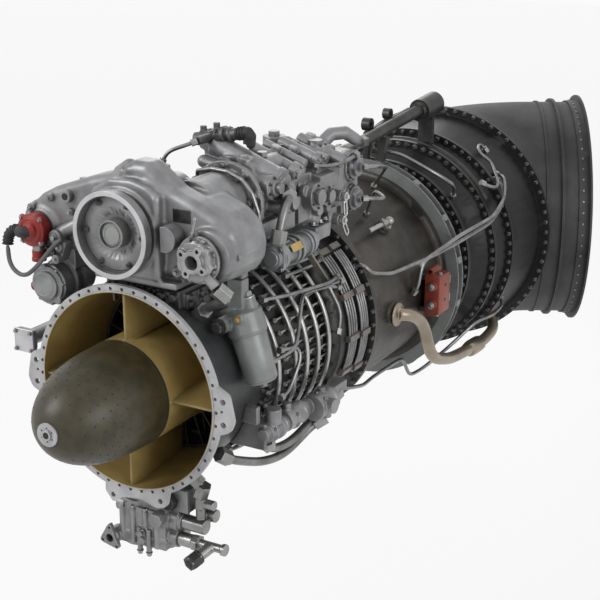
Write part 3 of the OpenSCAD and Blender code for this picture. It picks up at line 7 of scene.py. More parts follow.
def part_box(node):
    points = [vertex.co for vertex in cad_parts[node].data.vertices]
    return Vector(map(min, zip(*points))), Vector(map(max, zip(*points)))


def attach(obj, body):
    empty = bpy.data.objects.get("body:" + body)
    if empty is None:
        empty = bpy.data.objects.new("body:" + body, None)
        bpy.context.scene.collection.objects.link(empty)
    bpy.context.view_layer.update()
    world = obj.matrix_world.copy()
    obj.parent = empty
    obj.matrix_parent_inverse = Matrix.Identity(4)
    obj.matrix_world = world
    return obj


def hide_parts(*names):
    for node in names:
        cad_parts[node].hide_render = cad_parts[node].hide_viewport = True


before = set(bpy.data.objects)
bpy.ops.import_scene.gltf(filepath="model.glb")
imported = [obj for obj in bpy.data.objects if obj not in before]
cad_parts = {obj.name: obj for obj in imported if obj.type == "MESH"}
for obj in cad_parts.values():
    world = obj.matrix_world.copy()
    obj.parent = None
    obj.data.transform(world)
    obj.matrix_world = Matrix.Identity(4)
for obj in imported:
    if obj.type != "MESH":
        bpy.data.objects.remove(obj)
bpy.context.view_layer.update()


# ----------------------------------------------------------------- inlet frame
# A magnesium casting with a drilled flange, four struts and the front hub, bolted
# to the compressor casing. Grey outside, ochre paint in the air passage.

MM = 0.001
FLANGE_FACE = 0.0086
PASSAGE_R = 0.1793
PASSAGE_TAPER = 0.0125
TAPER_FROM, TAPER_TO, PASSAGE_END = 0.012, 0.130, 0.17
# Oily soil, and the colour that painted shade darkens corners and recesses towards.
SOIL_AND_SHADE = (0.03, 0.026, 0.022)
CREVICE_REACH = 0.018
GRAIN_DEPTH = 0.0006
SAME_POINT = 0.00002
SAME_PLANE = radians(0.6)


def add(tree, kind, inputs=None, **settings):
    """A node with its settings, and with sockets or values on its inputs."""
    made = tree.nodes.new(kind)
    for key, value in settings.items():
        setattr(made, key, value)
    for key, value in (inputs or {}).items():
        if isinstance(value, bpy.types.NodeSocket):
            tree.links.new(value, made.inputs[key])
        else:
            made.inputs[key].default_value = value
    return made


def blend_colours(tree, amount, first, second):
    """Mixes two colours, each a socket or three numbers."""
    mix = add(tree, "ShaderNodeMix", data_type="RGBA")
    for key, value in ((0, amount), (6, first), (7, second)):
        if isinstance(value, bpy.types.NodeSocket):
            tree.links.new(value, mix.inputs[key])
        elif key:
            mix.inputs[key].default_value = (*value, 1)
        else:
            mix.inputs[key].default_value = value
    return mix.outputs[2]


def spread(tree, value, low, high, to_low=0.0, to_high=1.0):
    """Maps a range of a value to another, clamped."""
    sockets = {"Value": value, "From Min": low, "From Max": high, "To Min": to_low, "To Max": to_high}
    return add(tree, "ShaderNodeMapRange", sockets).outputs[0]


def arithmetic(tree, operation, first, second=0.0):
    """One sum of two values, each a socket or a number."""
    return add(tree, "ShaderNodeMath", {0: first, 1: second}, operation=operation).outputs[0]


def noise(tree, where, scale, detail):
    """Even noise, from nought to one."""
    sockets = {"Vector": where, "Scale": scale, "Detail": detail, "Roughness": 0.55}
    return add(tree, "ShaderNodeTexNoise", sockets).outputs["Fac"]


def finish(name, colour, second, metallic, roughness, patch=22, grain=700, bump=0.12, grime_and_shade=0.6,
           wear_and_highlight=0.35, bright=(0.75, 0.75, 0.74), edge=0.8, turned=0.0, pick=None):
    """A worn surface: patches of two tones, soil and painted shade in corners, bright edges of wear and
    painted highlight, and fine grain.
    """
    material = bpy.data.materials.new(name)
    material.use_nodes = True
    tree = material.node_tree
    shader = tree.nodes["Principled BSDF"]
    where = add(tree, "ShaderNodeTexCoord").outputs["Object"]
    patches = noise(tree, where, patch, 4.0)
    fine = noise(tree, where, grain, 2.0)
    if pick:
        colour, second = pick(tree, where)
    tone = spread(tree, patches, 0.38, 0.64)
    surface = blend_colours(tree, tone, colour, second)
    # Ambient occlusion darkens corners, creases and recesses towards the soil colour: painted shade,
    # broken up by speckled soil.
    closed = add(tree, "ShaderNodeAmbientOcclusion", {"Distance": CREVICE_REACH}, samples=4)
    speckle = spread(tree, noise(tree, where, patch * 5, 3.0), 0.3, 0.7, 0.55, 1.0)
    crevice_shade = spread(tree, closed.outputs["AO"], 0.25, 0.92, grime_and_shade, 0.0)
    shade_and_dirt = arithmetic(tree, "MULTIPLY", crevice_shade, speckle)
    surface = blend_colours(tree, shade_and_dirt, surface, SOIL_AND_SHADE)
    rounded = add(tree, "ShaderNodeBevel", {"Radius": edge * MM}, samples=4).outputs[0]
    flat = add(tree, "ShaderNodeNewGeometry").outputs["Normal"]
    # Where the rounded normal parts from the flat one, edges are lightened towards the bright colour:
    # partly worn metal, partly a painted highlight.
    facing = add(tree, "ShaderNodeVectorMath", {0: rounded, 1: flat}, operation="DOT_PRODUCT")
    worn_and_lit_edges = spread(tree, facing.outputs["Value"], 0.99, 0.82, 0.0, wear_and_highlight)
    worn_and_lit_edges = arithmetic(tree, "MULTIPLY", worn_and_lit_edges, spread(tree, patches, 0.35, 0.6, 0.4, 1.0))
    surface = blend_colours(tree, worn_and_lit_edges, surface, bright)
    tree.links.new(surface, shader.inputs["Base Color"])
    shader.inputs["Metallic"].default_value = metallic
    rough = spread(tree, fine, 0.3, 0.7, roughness - 0.07, roughness + 0.07)
    rough = arithmetic(tree, "ADD", rough, arithmetic(tree, "MULTIPLY", shade_and_dirt, 0.35))
    tree.links.new(rough, shader.inputs["Roughness"])
    height = fine
    if turned:
        parts = add(tree, "ShaderNodeSeparateXYZ", {0: where}).outputs
        stretched = add(tree, "ShaderNodeCombineXYZ", {0: 0.0, 1: parts[1], 2: 0.0}).outputs[0]
        grooves = noise(tree, stretched, 900, 2.0)
        height = add(tree, "ShaderNodeMix", {0: turned, 2: fine, 3: grooves}).outputs[0]
    relief = add(tree, "ShaderNodeBump", {"Strength": bump, "Distance": GRAIN_DEPTH, "Height": height,
                                          "Normal": rounded})
    tree.links.new(relief.outputs[0], shader.inputs["Normal"])
    return material


def dress(node, material):
    """Puts a finish on a solid of the frame."""
    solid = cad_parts[node]
    if not solid.material_slots:
        solid.data.materials.append(material)
    for held in solid.material_slots:
        held.material = material


def passage_paint(tree, where):
    """Ochre in the air passage, pale on the front flange and dark grey behind it, in two tones."""
    parts = add(tree, "ShaderNodeSeparateXYZ", {0: where}).outputs
    across = arithmetic(tree, "MULTIPLY", parts[0], parts[0])
    up = arithmetic(tree, "MULTIPLY", parts[2], parts[2])
    radius = arithmetic(tree, "POWER", arithmetic(tree, "ADD", across, up), 0.5)
    limit = spread(tree, parts[1], TAPER_FROM, TAPER_TO, PASSAGE_R, PASSAGE_R - PASSAGE_TAPER)
    inside = arithmetic(tree, "MULTIPLY", arithmetic(tree, "LESS_THAN", radius, limit),
                        arithmetic(tree, "LESS_THAN", parts[1], PASSAGE_END))
    front = arithmetic(tree, "LESS_THAN", parts[1], FLANGE_FACE)
    outer = blend_colours(tree, front, (0.050, 0.052, 0.054), (0.56, 0.56, 0.57))
    outer_second = blend_colours(tree, front, (0.030, 0.031, 0.033), (0.43, 0.43, 0.44))
    return (blend_colours(tree, inside, outer, (0.36, 0.265, 0.098)),
            blend_colours(tree, inside, outer_second, (0.29, 0.205, 0.068)))


def copied(*nodes):
    """A working shape of some of the frame's solids, with its doubled points merged."""
    shape = bmesh.new()
    for node in nodes:
        shape.from_mesh(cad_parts[node].data)
    bmesh.ops.remove_doubles(shape, verts=shape.verts, dist=SAME_POINT)
    merged = bpy.data.meshes.new("merged")
    shape.to_mesh(merged)
    shape.clear()
    shape.from_mesh(merged)
    bpy.data.meshes.remove(merged)
    return shape


def built(name, shape):
    """The object that a working shape describes; the shape itself is freed."""
    piece = bpy.data.objects.new(name, bpy.data.meshes.new(name))
    shape.to_mesh(piece.data)
    shape.free()
    bpy.context.collection.objects.link(piece)
    return piece


def settle(piece):
    """Turns a piece's modifiers into a plain mesh."""
    graph = bpy.context.evaluated_depsgraph_get()
    mesh = bpy.data.meshes.new_from_object(piece.evaluated_get(graph))
    piece.modifiers.clear()
    piece.data = mesh
    return piece


def shaded(piece, angle):
    """Shades a piece smooth, but for the edges sharper than an angle in degrees."""
    piece.data.shade_smooth()
    piece.data.set_sharp_from_angle(angle=radians(angle))


def stand_in(piece, material, slot, body, *nodes):
    """Gives a finished piece its material and body, in place of solids of the frame; slot is not used."""
    piece.data.materials.clear()
    piece.data.materials.append(material)
    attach(piece, body)
    if nodes:
        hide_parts(*nodes)
    return piece


def smooth_copy(name, node, material, slot, body="stator", slim=1.0):
    """The same shape as a solid, with its curved faces shaded smooth; slim narrows a rotor."""
    shape = copied(node)
    bmesh.ops.dissolve_limit(shape, angle_limit=SAME_PLANE, verts=shape.verts, edges=shape.edges)
    bmesh.ops.scale(shape, vec=(slim, 1.0, slim), verts=shape.verts)
    piece = built(name, shape)
    shaded(piece, 32)
    even = piece.modifiers.new("even shading", "WEIGHTED_NORMAL")
    even.keep_sharp = True
    settle(piece)
    return stand_in(piece, material, slot, body, node)


inlet_paint = finish("inlet paint", None, None, 0.0, 0.45, bump=0.1, grime_and_shade=0.45, wear_and_highlight=0.3,
                     bright=(0.6, 0.6, 0.58), pick=passage_paint)
smooth_copy("inlet_casing", "inlet_frame", inlet_paint, "inlet_grey")


# ------------------------------------------------------- nose cone and its cap
# A pressed shell painted olive brown, with rows of small bleed holes near its tip,
# drawn as dark discs of painted shade, and a round access cap on six screws.

nose_paint = finish("nose paint", (0.050, 0.041, 0.017), (0.029, 0.024, 0.010), 0.0, 0.42, patch=46,
                    grain=520, bump=0.12, grime_and_shade=0.25, wear_and_highlight=0.1, bright=(0.2, 0.18, 0.1))
smooth_copy("nose_shell", "nose_cone", nose_paint, "nose_olive")
bright_steel = finish("bright steel", (0.62, 0.62, 0.61), (0.5, 0.5, 0.5), 0.85, 0.3, bump=0.06,
                      grime_and_shade=0.6, turned=0.5)
nose_cap_steel = finish("nose cap steel", (0.50, 0.50, 0.51), (0.38, 0.38, 0.39), 0.6, 0.36, grime_and_shade=0.9,
                        wear_and_highlight=0.3)
smooth_copy("nose_access_cap", "nose_cap", nose_cap_steel, "bright_steel")


def new_tree(name, inputs):
    """A Geometry Nodes tree with named inputs; returns it with its input node."""
    tree = bpy.data.node_groups.new(name, "GeometryNodeTree")
    tree.interface.new_socket("Geometry", in_out="INPUT", socket_type="NodeSocketGeometry")
    tree.interface.new_socket("Geometry", in_out="OUTPUT", socket_type="NodeSocketGeometry")
    for label, kind, value in inputs:
        made = tree.interface.new_socket(label, in_out="INPUT", socket_type="NodeSocket" + kind)
        if kind != "Material":
            made.default_value = value
    return tree, tree.nodes.new("NodeGroupInput").outputs


def close_tree(tree, geometry, material):
    """Ends a tree in real meshes that carry the material."""
    real = add(tree, "GeometryNodeRealizeInstances", {0: geometry}).outputs[0]
    painted = add(tree, "GeometryNodeSetMaterial", {"Geometry": real, "Material": material})
    tree.links.new(painted.outputs[0], tree.nodes.new("NodeGroupOutput").inputs[0])


def grown(name, mesh, tree, values):
    """The plain mesh that a tree makes from a start mesh and its inputs."""
    piece = bpy.data.objects.new(name, mesh)
    bpy.context.collection.objects.link(piece)
    held = piece.modifiers.new(tree.name, "NODES")
    held.node_group = tree
    for item in tree.interface.items_tree:
        if item.in_out == "INPUT" and item.name in values:
            held[item.identifier] = values[item.name]
    return settle(piece)


def stud_tree():
    """Round-based studs on the points of a mesh, each along its point's axis."""
    tree, given = new_tree("studs on points", [
        ("Head Radius", "Float", 0.004), ("Head Height", "Float", 0.004), ("Sides", "Int", 6),
        ("Washer Radius", "Float", 0.006), ("Washer Height", "Float", 0.001),
        ("Chamfer", "Float", 0.85), ("Seed", "Int", 3), ("Material", "Material", None)])
    head_r, head_h, sides, washer_r, washer_h, chamfer, seed, material = [given[i] for i in range(1, 9)]
    low = arithmetic(tree, "MULTIPLY", head_h, 0.75)
    high = arithmetic(tree, "MULTIPLY", head_h, 0.25)
    top_r = arithmetic(tree, "MULTIPLY", head_r, chamfer)
    washer = add(tree, "GeometryNodeMeshCone", {"Vertices": 16, "Radius Top": washer_r,
                                                "Radius Bottom": washer_r, "Depth": washer_h})
    body = add(tree, "GeometryNodeMeshCone", {"Vertices": sides, "Radius Top": head_r,
                                              "Radius Bottom": head_r, "Depth": low})
    crown = add(tree, "GeometryNodeMeshCone", {"Vertices": sides, "Radius Top": top_r,
                                               "Radius Bottom": head_r, "Depth": high})
    stacked = []
    for part, shift in ((washer, (0.0,)), (body, (washer_h,)), (crown, (washer_h, low))):
        rise = 0.0
        for step in shift:
            rise = arithmetic(tree, "ADD", rise, step)
        offset = add(tree, "ShaderNodeCombineXYZ", {2: rise}).outputs[0]
        stacked.append(add(tree, "GeometryNodeTransform", {"Geometry": part.outputs[0],
                                                           "Translation": offset}).outputs[0])
    whole = add(tree, "GeometryNodeJoinGeometry")
    for part in stacked:
        tree.links.new(part, whole.inputs[0])
    axis = add(tree, "GeometryNodeInputNamedAttribute", {"Name": "axis"}, data_type="FLOAT_VECTOR")
    along = add(tree, "FunctionNodeAlignRotationToVector", {"Vector": axis.outputs[0]}, axis="Z")
    spin = add(tree, "FunctionNodeRandomValue", {"Seed": seed}, data_type="FLOAT")
    spin.inputs[3].default_value = 2 * pi
    turn = add(tree, "ShaderNodeCombineXYZ", {2: spin.outputs[1]}).outputs[0]
    turned_to = add(tree, "FunctionNodeRotateRotation", {0: along.outputs[0]}, rotation_space="LOCAL")
    tree.links.new(turn, turned_to.inputs[1])
    placed = add(tree, "GeometryNodeInstanceOnPoints", {"Points": given[0], "Instance": whole.outputs[0],
                                                        "Rotation": turned_to.outputs[0]})
    close_tree(tree, placed.outputs[0], material)
    return tree


STUDS = stud_tree()


AHEAD = Vector((0, -1, 0))
BEHIND = Vector((0, 1, 0))
UP = Vector((0, 0, 1))
RIGHT = Vector((1, 0, 0))


def circle_points(centre, axis, radius, count, start=0.0):
    """Points round a centre with their axis; the angle runs from up towards the right."""
    axis = Vector(axis).normalized()
    side = axis.cross(UP)
    if side.length < 0.1:
        side = RIGHT.copy()
    side.normalize()
    up = side.cross(axis).normalized()
    made = []
    for i in range(count):
        angle = radians(start + 360 * i / count)
        made.append((Vector(centre) + radius * (cos(angle) * up + sin(angle) * side), axis))
    return made


def studs(name, points, material, slot, head, height, sides=6, washer=1.35, washer_height=0.25,
          chamfer=0.85):
    """Bolt heads, nuts or rivets at points, sizes in millimetres."""
    mesh = bpy.data.meshes.new(name)
    mesh.from_pydata([p for p, _ in points], [], [])
    axes = mesh.attributes.new("axis", "FLOAT_VECTOR", "POINT")
    axes.data.foreach_set("vector", [v for _, axis in points for v in axis])
    piece = grown(name, mesh, STUDS, {
        "Head Radius": head * MM, "Head Height": height * MM, "Sides": sides,
        "Washer Radius": head * washer * MM, "Washer Height": height * washer_height * MM,
        "Chamfer": chamfer, "Material": material})
    piece.data.shade_flat()
    return stand_in(piece, material, slot, "stator")


NOSE_BASE = -0.012
NOSE_LENGTH = 0.197
NOSE_R = 0.096
HOLE_SINK = 0.0004


def nose_radius(y):
    """The nose's outer radius at a place along the engine."""
    part = (NOSE_BASE - y) / NOSE_LENGTH
    return NOSE_R * (1 - part ** 2.6) ** (1 / 2.1)


# Each bleed hole is a dark disc sunk just under the shell: painted shade in place of an open hole.
nose_holes = []
for row, y in enumerate([-0.182, -0.167, -0.152, -0.137, -0.122, -0.107]):
    slope = (nose_radius(y - 0.001) - nose_radius(y + 0.001)) / 0.002
    count = 12 + 4 * row
    for i in range(count):
        angle = 2 * pi * (i + 0.5 * (row % 2)) / count
        out = Vector((sin(angle), slope, cos(angle))).normalized()
        at = Vector((nose_radius(y) * sin(angle), y, nose_radius(y) * cos(angle)))
        nose_holes.append((at - HOLE_SINK * out, out))
# A near-black finish for the discs and rings drawn where holes, sockets, grooves and gaps are: painted
# shade.
hole_shade = finish("painted hole shade", (0.012, 0.011, 0.01), (0.018, 0.016, 0.014), 0.0, 0.7, grime_and_shade=0.0,
                   wear_and_highlight=0.0)
studs("nose_bleed_holes", nose_holes, hole_shade, "nose_olive", 1.3, 0.5, sides=10, washer=1.0,
      washer_height=0.5)


# ------------------------------------------------- compressor casing and vanes
# The split steel casing carries a row of vane spindles under every lever; the
# vanes and the bladed drum inside are dark with heat and show through the intake.

dark_steel = finish("dark steel", (0.075, 0.074, 0.073), (0.042, 0.041, 0.040), 0.7, 0.42, bump=0.1,
                    grime_and_shade=0.8, wear_and_highlight=0.4, bright=(0.42, 0.41, 0.40))
vane_steel = finish("vane steel", (0.11, 0.108, 0.1), (0.06, 0.058, 0.055), 0.75, 0.38, grime_and_shade=0.5,
                    wear_and_highlight=0.3, bright=(0.4, 0.39, 0.37))
smooth_copy("compressor_casing", "compressor_case", dark_steel, "dark_steel")
smooth_copy("casing_rear", "rear_case", dark_steel, "dark_steel")
for node in ("guide_vanes", "stator_vanes", "gas_rotor"):
    dress(node, vane_steel)

VANE_ROWS = ((0.200, 44), (0.259, 47), (0.301, 50), (0.343, 53), (0.384, 56))
LEVER_LEN = 0.032
SPINDLE_AHEAD = 0.028
SPINDLE_FOOT_R = 0.1705
spindle_feet = []
for row_y, count in VANE_ROWS:
    for at, _ in circle_points((0, row_y - SPINDLE_AHEAD, 0), BEHIND, SPINDLE_FOOT_R, count):
        spindle_feet.append((at, Vector((at.x, 0, at.z)).normalized()))
studs("spindle_bosses", spindle_feet, dark_steel, "dark_steel", 5.4, 5.0, washer=1.1)


# ---------------------------------------------------------------- unison rings
# Five light rings turn on pads round the casing, and each swings one row of vanes
# through flat steel levers that are nutted to the spindles and pinned to the ring.

RING_INNER = 0.184
ring_steel = finish("ring steel", (0.5, 0.5, 0.49), (0.38, 0.38, 0.375), 0.8, 0.34, bump=0.08,
                    grime_and_shade=0.7, wear_and_highlight=0.5, bright=(0.85, 0.85, 0.84))


def place_round(tree, geometry, place):
    """Turns a shape made round Z so that it stands round the engine's axis, at its place."""
    shift = add(tree, "ShaderNodeCombineXYZ", {1: place}).outputs[0]
    stood = add(tree, "GeometryNodeTransform", {"Geometry": geometry, "Translation": shift})
    stood.inputs["Rotation"].default_value = (-pi / 2, -pi / 2, 0)
    return stood.outputs[0]


def vane_ring_tree():
    """A ring about the engine's axis, of a bar with rounded edges."""
    tree, given = new_tree("vane ring", [
        ("Inner Radius", "Float", RING_INNER), ("Thickness", "Float", 0.0078),
        ("Width", "Float", 0.0088), ("Rounding", "Float", 0.0034), ("Place", "Float", 0.2),
        ("Material", "Material", None)])
    inner, thick, width, rounding, place, material = [given[i] for i in range(1, 7)]
    middle = arithmetic(tree, "MULTIPLY_ADD", thick, 0.5)
    tree.links.new(inner, middle.node.inputs[2])
    path = add(tree, "GeometryNodeCurvePrimitiveCircle", {"Resolution": 180, "Radius": middle})
    bar = add(tree, "GeometryNodeCurvePrimitiveQuadrilateral", {"Width": thick, "Height": width})
    soft = add(tree, "GeometryNodeFilletCurve", {"Curve": bar.outputs[0], "Radius": rounding}, mode="POLY")
    soft.inputs["Count"].default_value = 4
    band = add(tree, "GeometryNodeCurveToMesh", {"Curve": path.outputs[0],
                                                 "Profile Curve": soft.outputs[0]})
    close_tree(tree, place_round(tree, band.outputs[0], place), material)
    return tree


def lever_tree():
    """Flat levers round the engine's axis, each with a foot, a nut and the end of its spindle."""
    tree, given = new_tree("vane levers", [
        ("Radius", "Float", RING_INNER - 0.0014), ("Levers", "Int", 44),
        ("Lever Length", "Float", LEVER_LEN), ("Lever Width", "Float", 0.0032),
        ("Place", "Float", 0.2), ("Material", "Material", None)])
    radius, levers, length, width, place, material = [given[i] for i in range(1, 7)]
    arm_size = add(tree, "ShaderNodeCombineXYZ", {0: 0.0022, 1: width, 2: length}).outputs[0]
    arm = add(tree, "GeometryNodeMeshCube", {"Size": arm_size}).outputs[0]
    half = arithmetic(tree, "MULTIPLY", length, -0.5)
    back = arithmetic(tree, "MULTIPLY_ADD", length, -1.0)
    back.node.inputs[2].default_value = 0.004
    foot = (14, 0.0042, 0.0042, 0.0024)
    nut = (6, 0.0028, 0.0032, 0.0034)
    spindle = (10, 0.0013, 0.0013, 0.0050)
    parts = []
    for size, along, out in ((None, half, 0.0), (foot, back, -0.0012), (nut, back, 0.0012),
                             (spindle, back, 0.0012)):
        kind = arm
        if size:
            sockets = dict(zip(("Vertices", "Radius Top", "Radius Bottom", "Depth"), size))
            cone = add(tree, "GeometryNodeMeshCone", sockets).outputs[0]
            kind = add(tree, "GeometryNodeTransform", {"Geometry": cone}).outputs[0]
            kind.node.inputs["Rotation"].default_value = (0, pi / 2, 0)
        shift = add(tree, "ShaderNodeCombineXYZ", {0: out, 2: along}).outputs[0]
        parts.append(add(tree, "GeometryNodeTransform", {"Geometry": kind, "Translation": shift}))
    lever = add(tree, "GeometryNodeJoinGeometry")
    for part in parts:
        tree.links.new(part.outputs[0], lever.inputs[0])
    spots = add(tree, "GeometryNodeMeshCircle", {"Vertices": levers, "Radius": radius})
    index = add(tree, "GeometryNodeInputIndex").outputs[0]
    angle = arithmetic(tree, "DIVIDE", arithmetic(tree, "MULTIPLY", index, 2 * pi), levers)
    facing = add(tree, "ShaderNodeCombineXYZ", {2: angle}).outputs[0]
    placed = add(tree, "GeometryNodeInstanceOnPoints", {"Points": spots.outputs[0],
                                                        "Instance": lever.outputs[0]})
    tree.links.new(facing, placed.inputs["Rotation"])
    close_tree(tree, place_round(tree, placed.outputs[0], place), material)
    return tree


VANE_RING = vane_ring_tree()
LEVERS = lever_tree()
lever_steel = finish("lever steel", (0.42, 0.42, 0.415), (0.30, 0.30, 0.297), 0.8, 0.36, grime_and_shade=0.5,
                     wear_and_highlight=0.3)
for number, (row_y, count) in enumerate(VANE_ROWS, start=1):
    body = "ring_%d" % number
    band = grown("vane_ring_%d" % number, bpy.data.meshes.new("band"), VANE_RING,
                 {"Place": row_y, "Material": ring_steel})
    shaded(band, 35)
    stand_in(band, ring_steel, "bright_steel", body, "unison_ring_%d" % number)
    arms = grown("vane_levers_%d" % number, bpy.data.meshes.new("arms"), LEVERS,
                 {"Place": row_y, "Levers": count, "Material": lever_steel})
    shaded(arms, 35)
    stand_in(arms, lever_steel, "bright_steel", body)


# ------------------------------------------------------------------- combustor
# A rolled and welded steel drum, stained brown to black by heat, with the flame
# tube and fuel nozzles inside and an igniter with its braided lead on each side.

heat_stain = finish("heat stained steel", (0.070, 0.062, 0.052), (0.026, 0.023, 0.020), 0.55, 0.42,
                    patch=10, grain=420, bump=0.14, grime_and_shade=0.7, wear_and_highlight=0.25, bright=(0.3, 0.27, 0.22),
                    turned=0.3)
smooth_copy("combustor_drum", "combustor_case", heat_stain, "heat_stained")
dress("flame_tube", heat_stain)
dress("fuel_nozzles", dark_steel)
brass = finish("brass", (0.52, 0.37, 0.15), (0.40, 0.28, 0.11), 0.85, 0.34, grime_and_shade=0.6, wear_and_highlight=0.4,
               bright=(0.8, 0.62, 0.3))
smooth_copy("igniter_plugs", "igniters", lever_steel, "brass_fittings")


# ------------------------------------------------------------------ mount ring
# A grey-green channel ring round the rear of the combustor takes the engine's
# side loads; its pockets are closed by short blocks, and lugs stand on its rim.

mount_paint = finish("mount paint", (0.225, 0.24, 0.233), (0.17, 0.18, 0.175), 0.1, 0.45, grime_and_shade=0.4,
                     wear_and_highlight=0.5, bright=(0.6, 0.6, 0.56))
smooth_copy("mounting_ring", "mount_ring", mount_paint, "grey_green")


# ------------------------------------------------------------- turbine casings
# Thin cast rings of heat-resisting steel, burnt nearly black, clamped at closely
# bolted flanges; the nozzle rows and the output rotor run inside them.

burnt = finish("burnt steel", (0.028, 0.027, 0.027), (0.016, 0.0155, 0.0155), 0.55, 0.42, patch=12,
               grain=600, bump=0.1, grime_and_shade=0.3, wear_and_highlight=0.35, bright=(0.13, 0.125, 0.12), turned=0.2)
for node, piece_name in (("turbine_case", "turbine_casing"), ("interstage_case", "interstage_casing"),
                         ("power_case_front", "power_casing_front"),
                         ("power_case_rear", "power_casing_rear")):
    smooth_copy(piece_name, node, burnt, "burnt_steel")
dress("turbine_nozzles", heat_stain)
smooth_copy("output_rotor", "power_rotor", dark_steel, "dark_steel", body="power_rotor", slim=0.995)
smooth_copy("output_housing", "shaft_housing", burnt, "burnt_steel")


# ----------------------------------------------------------- exhaust duct, lip
# A welded sheet-steel bend, sooted black, with a rolled stiffening lip riveted
# round its mouth and a collar where the outlet's sleeve starts.

DUCT_START = 1.307
DUCT_TURN = radians(62)
DUCT_BEND = 0.285
OUTLET = Vector((sin(DUCT_TURN), cos(DUCT_TURN), 0))
OUTLET_START = Vector((DUCT_BEND * (1 - cos(DUCT_TURN)), DUCT_START + DUCT_BEND * sin(DUCT_TURN), 0))
LIP_MIDDLE = OUTLET_START + 0.085 * OUTLET
soot = finish("sooted sheet", (0.060, 0.060, 0.061), (0.026, 0.026, 0.027), 0.15, 0.6, patch=9,
              grain=300, bump=0.22, grime_and_shade=0.3, wear_and_highlight=0.3, bright=(0.12, 0.12, 0.12))
smooth_copy("exhaust_bend", "exhaust_duct", soot, "burnt_steel")
smooth_copy("exhaust_mouth_lip", "exhaust_lip", soot, "burnt_steel")
rivets = [(at, (at - LIP_MIDDLE).normalized())
          for at, _ in circle_points(LIP_MIDDLE, OUTLET, 0.2762, 64)]
worn_rivet = finish("rivet steel", (0.3, 0.29, 0.28), (0.18, 0.175, 0.17), 0.7, 0.4, grime_and_shade=0.4)
studs("lip_rivets", rivets, worn_rivet, "burnt_steel", 2.4, 1.2, sides=12, washer=1.0, chamfer=0.5)


# ---------------------------------------------------------------- flange bolts
# Close rows of hexagon bolts with nuts behind clamp the casings together. The
# bolts are dark; one flange of the turbine carries a row of square heads.

bolt_steel = finish("bolt steel", (0.12, 0.12, 0.118), (0.07, 0.07, 0.068), 0.8, 0.4, grime_and_shade=0.7,
                    wear_and_highlight=0.9, bright=(0.5, 0.49, 0.47))
FLANGES = (("d", 64, 0.0, 214, 970, 982, 4.6, 6), ("e", 72, 0.0, 243, 1057, 1069, 5.4, 4),
           ("f", 72, 0.0, 257, 1128, 1140, 4.6, 6), ("g", 72, 2.5, 285, 1295, 1307, 4.6, 6),
           ("c", 48, 0.0, 211.5, 522, 536, 4.4, 6), ("a", 36, 5.0, 175, 182, 196, 4.2, 6),
           ("b", 36, 5.0, 175, 389, 403, 4.2, 6))
for letter, count, start, circle_r, front_y, back_y, head, sides in FLANGES:
    front = circle_points((0, front_y * MM, 0), AHEAD, circle_r * MM, count, -start)
    rear = circle_points((0, back_y * MM, 0), BEHIND, circle_r * MM, count, start)
    bolts = studs("flange_bolts_" + letter, front + rear, bolt_steel, "dark_steel", head, 5.2,
                  washer=1.12, washer_height=0.16, sides=sides)
    if letter == "d":
        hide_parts("flange_bolts")


# ------------------------------------------------------ accessory gearbox case
# One large aluminium casting over the intake: smooth arms reach out from a deep
# middle that carries the starter pad. Its saddle is a darker casting that stands
# on the inlet frame's neck.

cast_metal = finish("cast aluminium", (0.31, 0.312, 0.318), (0.21, 0.211, 0.217), 0.5, 0.4, patch=20,
                    grain=700, bump=0.22, grime_and_shade=0.9, wear_and_highlight=0.3, bright=(0.5, 0.5, 0.5), edge=1.2)
dark_cast = finish("dark cast metal", (0.12, 0.12, 0.122), (0.075, 0.075, 0.077), 0.5, 0.42, patch=25,
                   grain=700, bump=0.2, grime_and_shade=0.8, wear_and_highlight=0.5, bright=(0.42, 0.42, 0.42), edge=1.2)


def rod(shape, start, end, radius, end_radius=None, sides=32):
    """Adds a round bar or a cone between two points, all in millimetres."""
    start = Vector(start) * MM
    end = Vector(end) * MM
    along = end - start
    turn = along.to_track_quat("Z", "Y").to_matrix().to_4x4()
    far = radius if end_radius is None else end_radius
    bmesh.ops.create_cone(shape, cap_ends=True, segments=sides, radius1=radius * MM, radius2=far * MM,
                          depth=along.length, matrix=Matrix.Translation((start + end) / 2) @ turn)


def bar(shape, x, z, start, end, *radii):
    """Adds a round bar or a cone along the engine, from one station to another."""
    rod(shape, (x, start, z), (x, end, z), *radii)


def slab(shape, low, high, tilt=0.0):
    """Adds a block between two corners, in millimetres, turned about an axis along the engine."""
    low = Vector(low) * MM
    high = Vector(high) * MM
    size = Matrix.Diagonal((*(high - low), 1))
    turn = Matrix.Rotation(radians(tilt), 4, "Y")
    bmesh.ops.create_cube(shape, size=1, matrix=Matrix.Translation((low + high) / 2) @ turn @ size)


def ball(shape, at, radius):
    """Adds a ball about a point, in millimetres."""
    place = Matrix.Translation(Vector(at) * MM)
    bmesh.ops.create_icosphere(shape, subdivisions=3, radius=radius * MM, matrix=place)


def limb(shape, *stops):
    """Adds a round limb through stops, each a point and its radius, in millimetres."""
    for (start, r0), (end, r1) in zip(stops, stops[1:]):
        rod(shape, start, end, r0, r1)
    for at, r in stops:
        ball(shape, at, r)


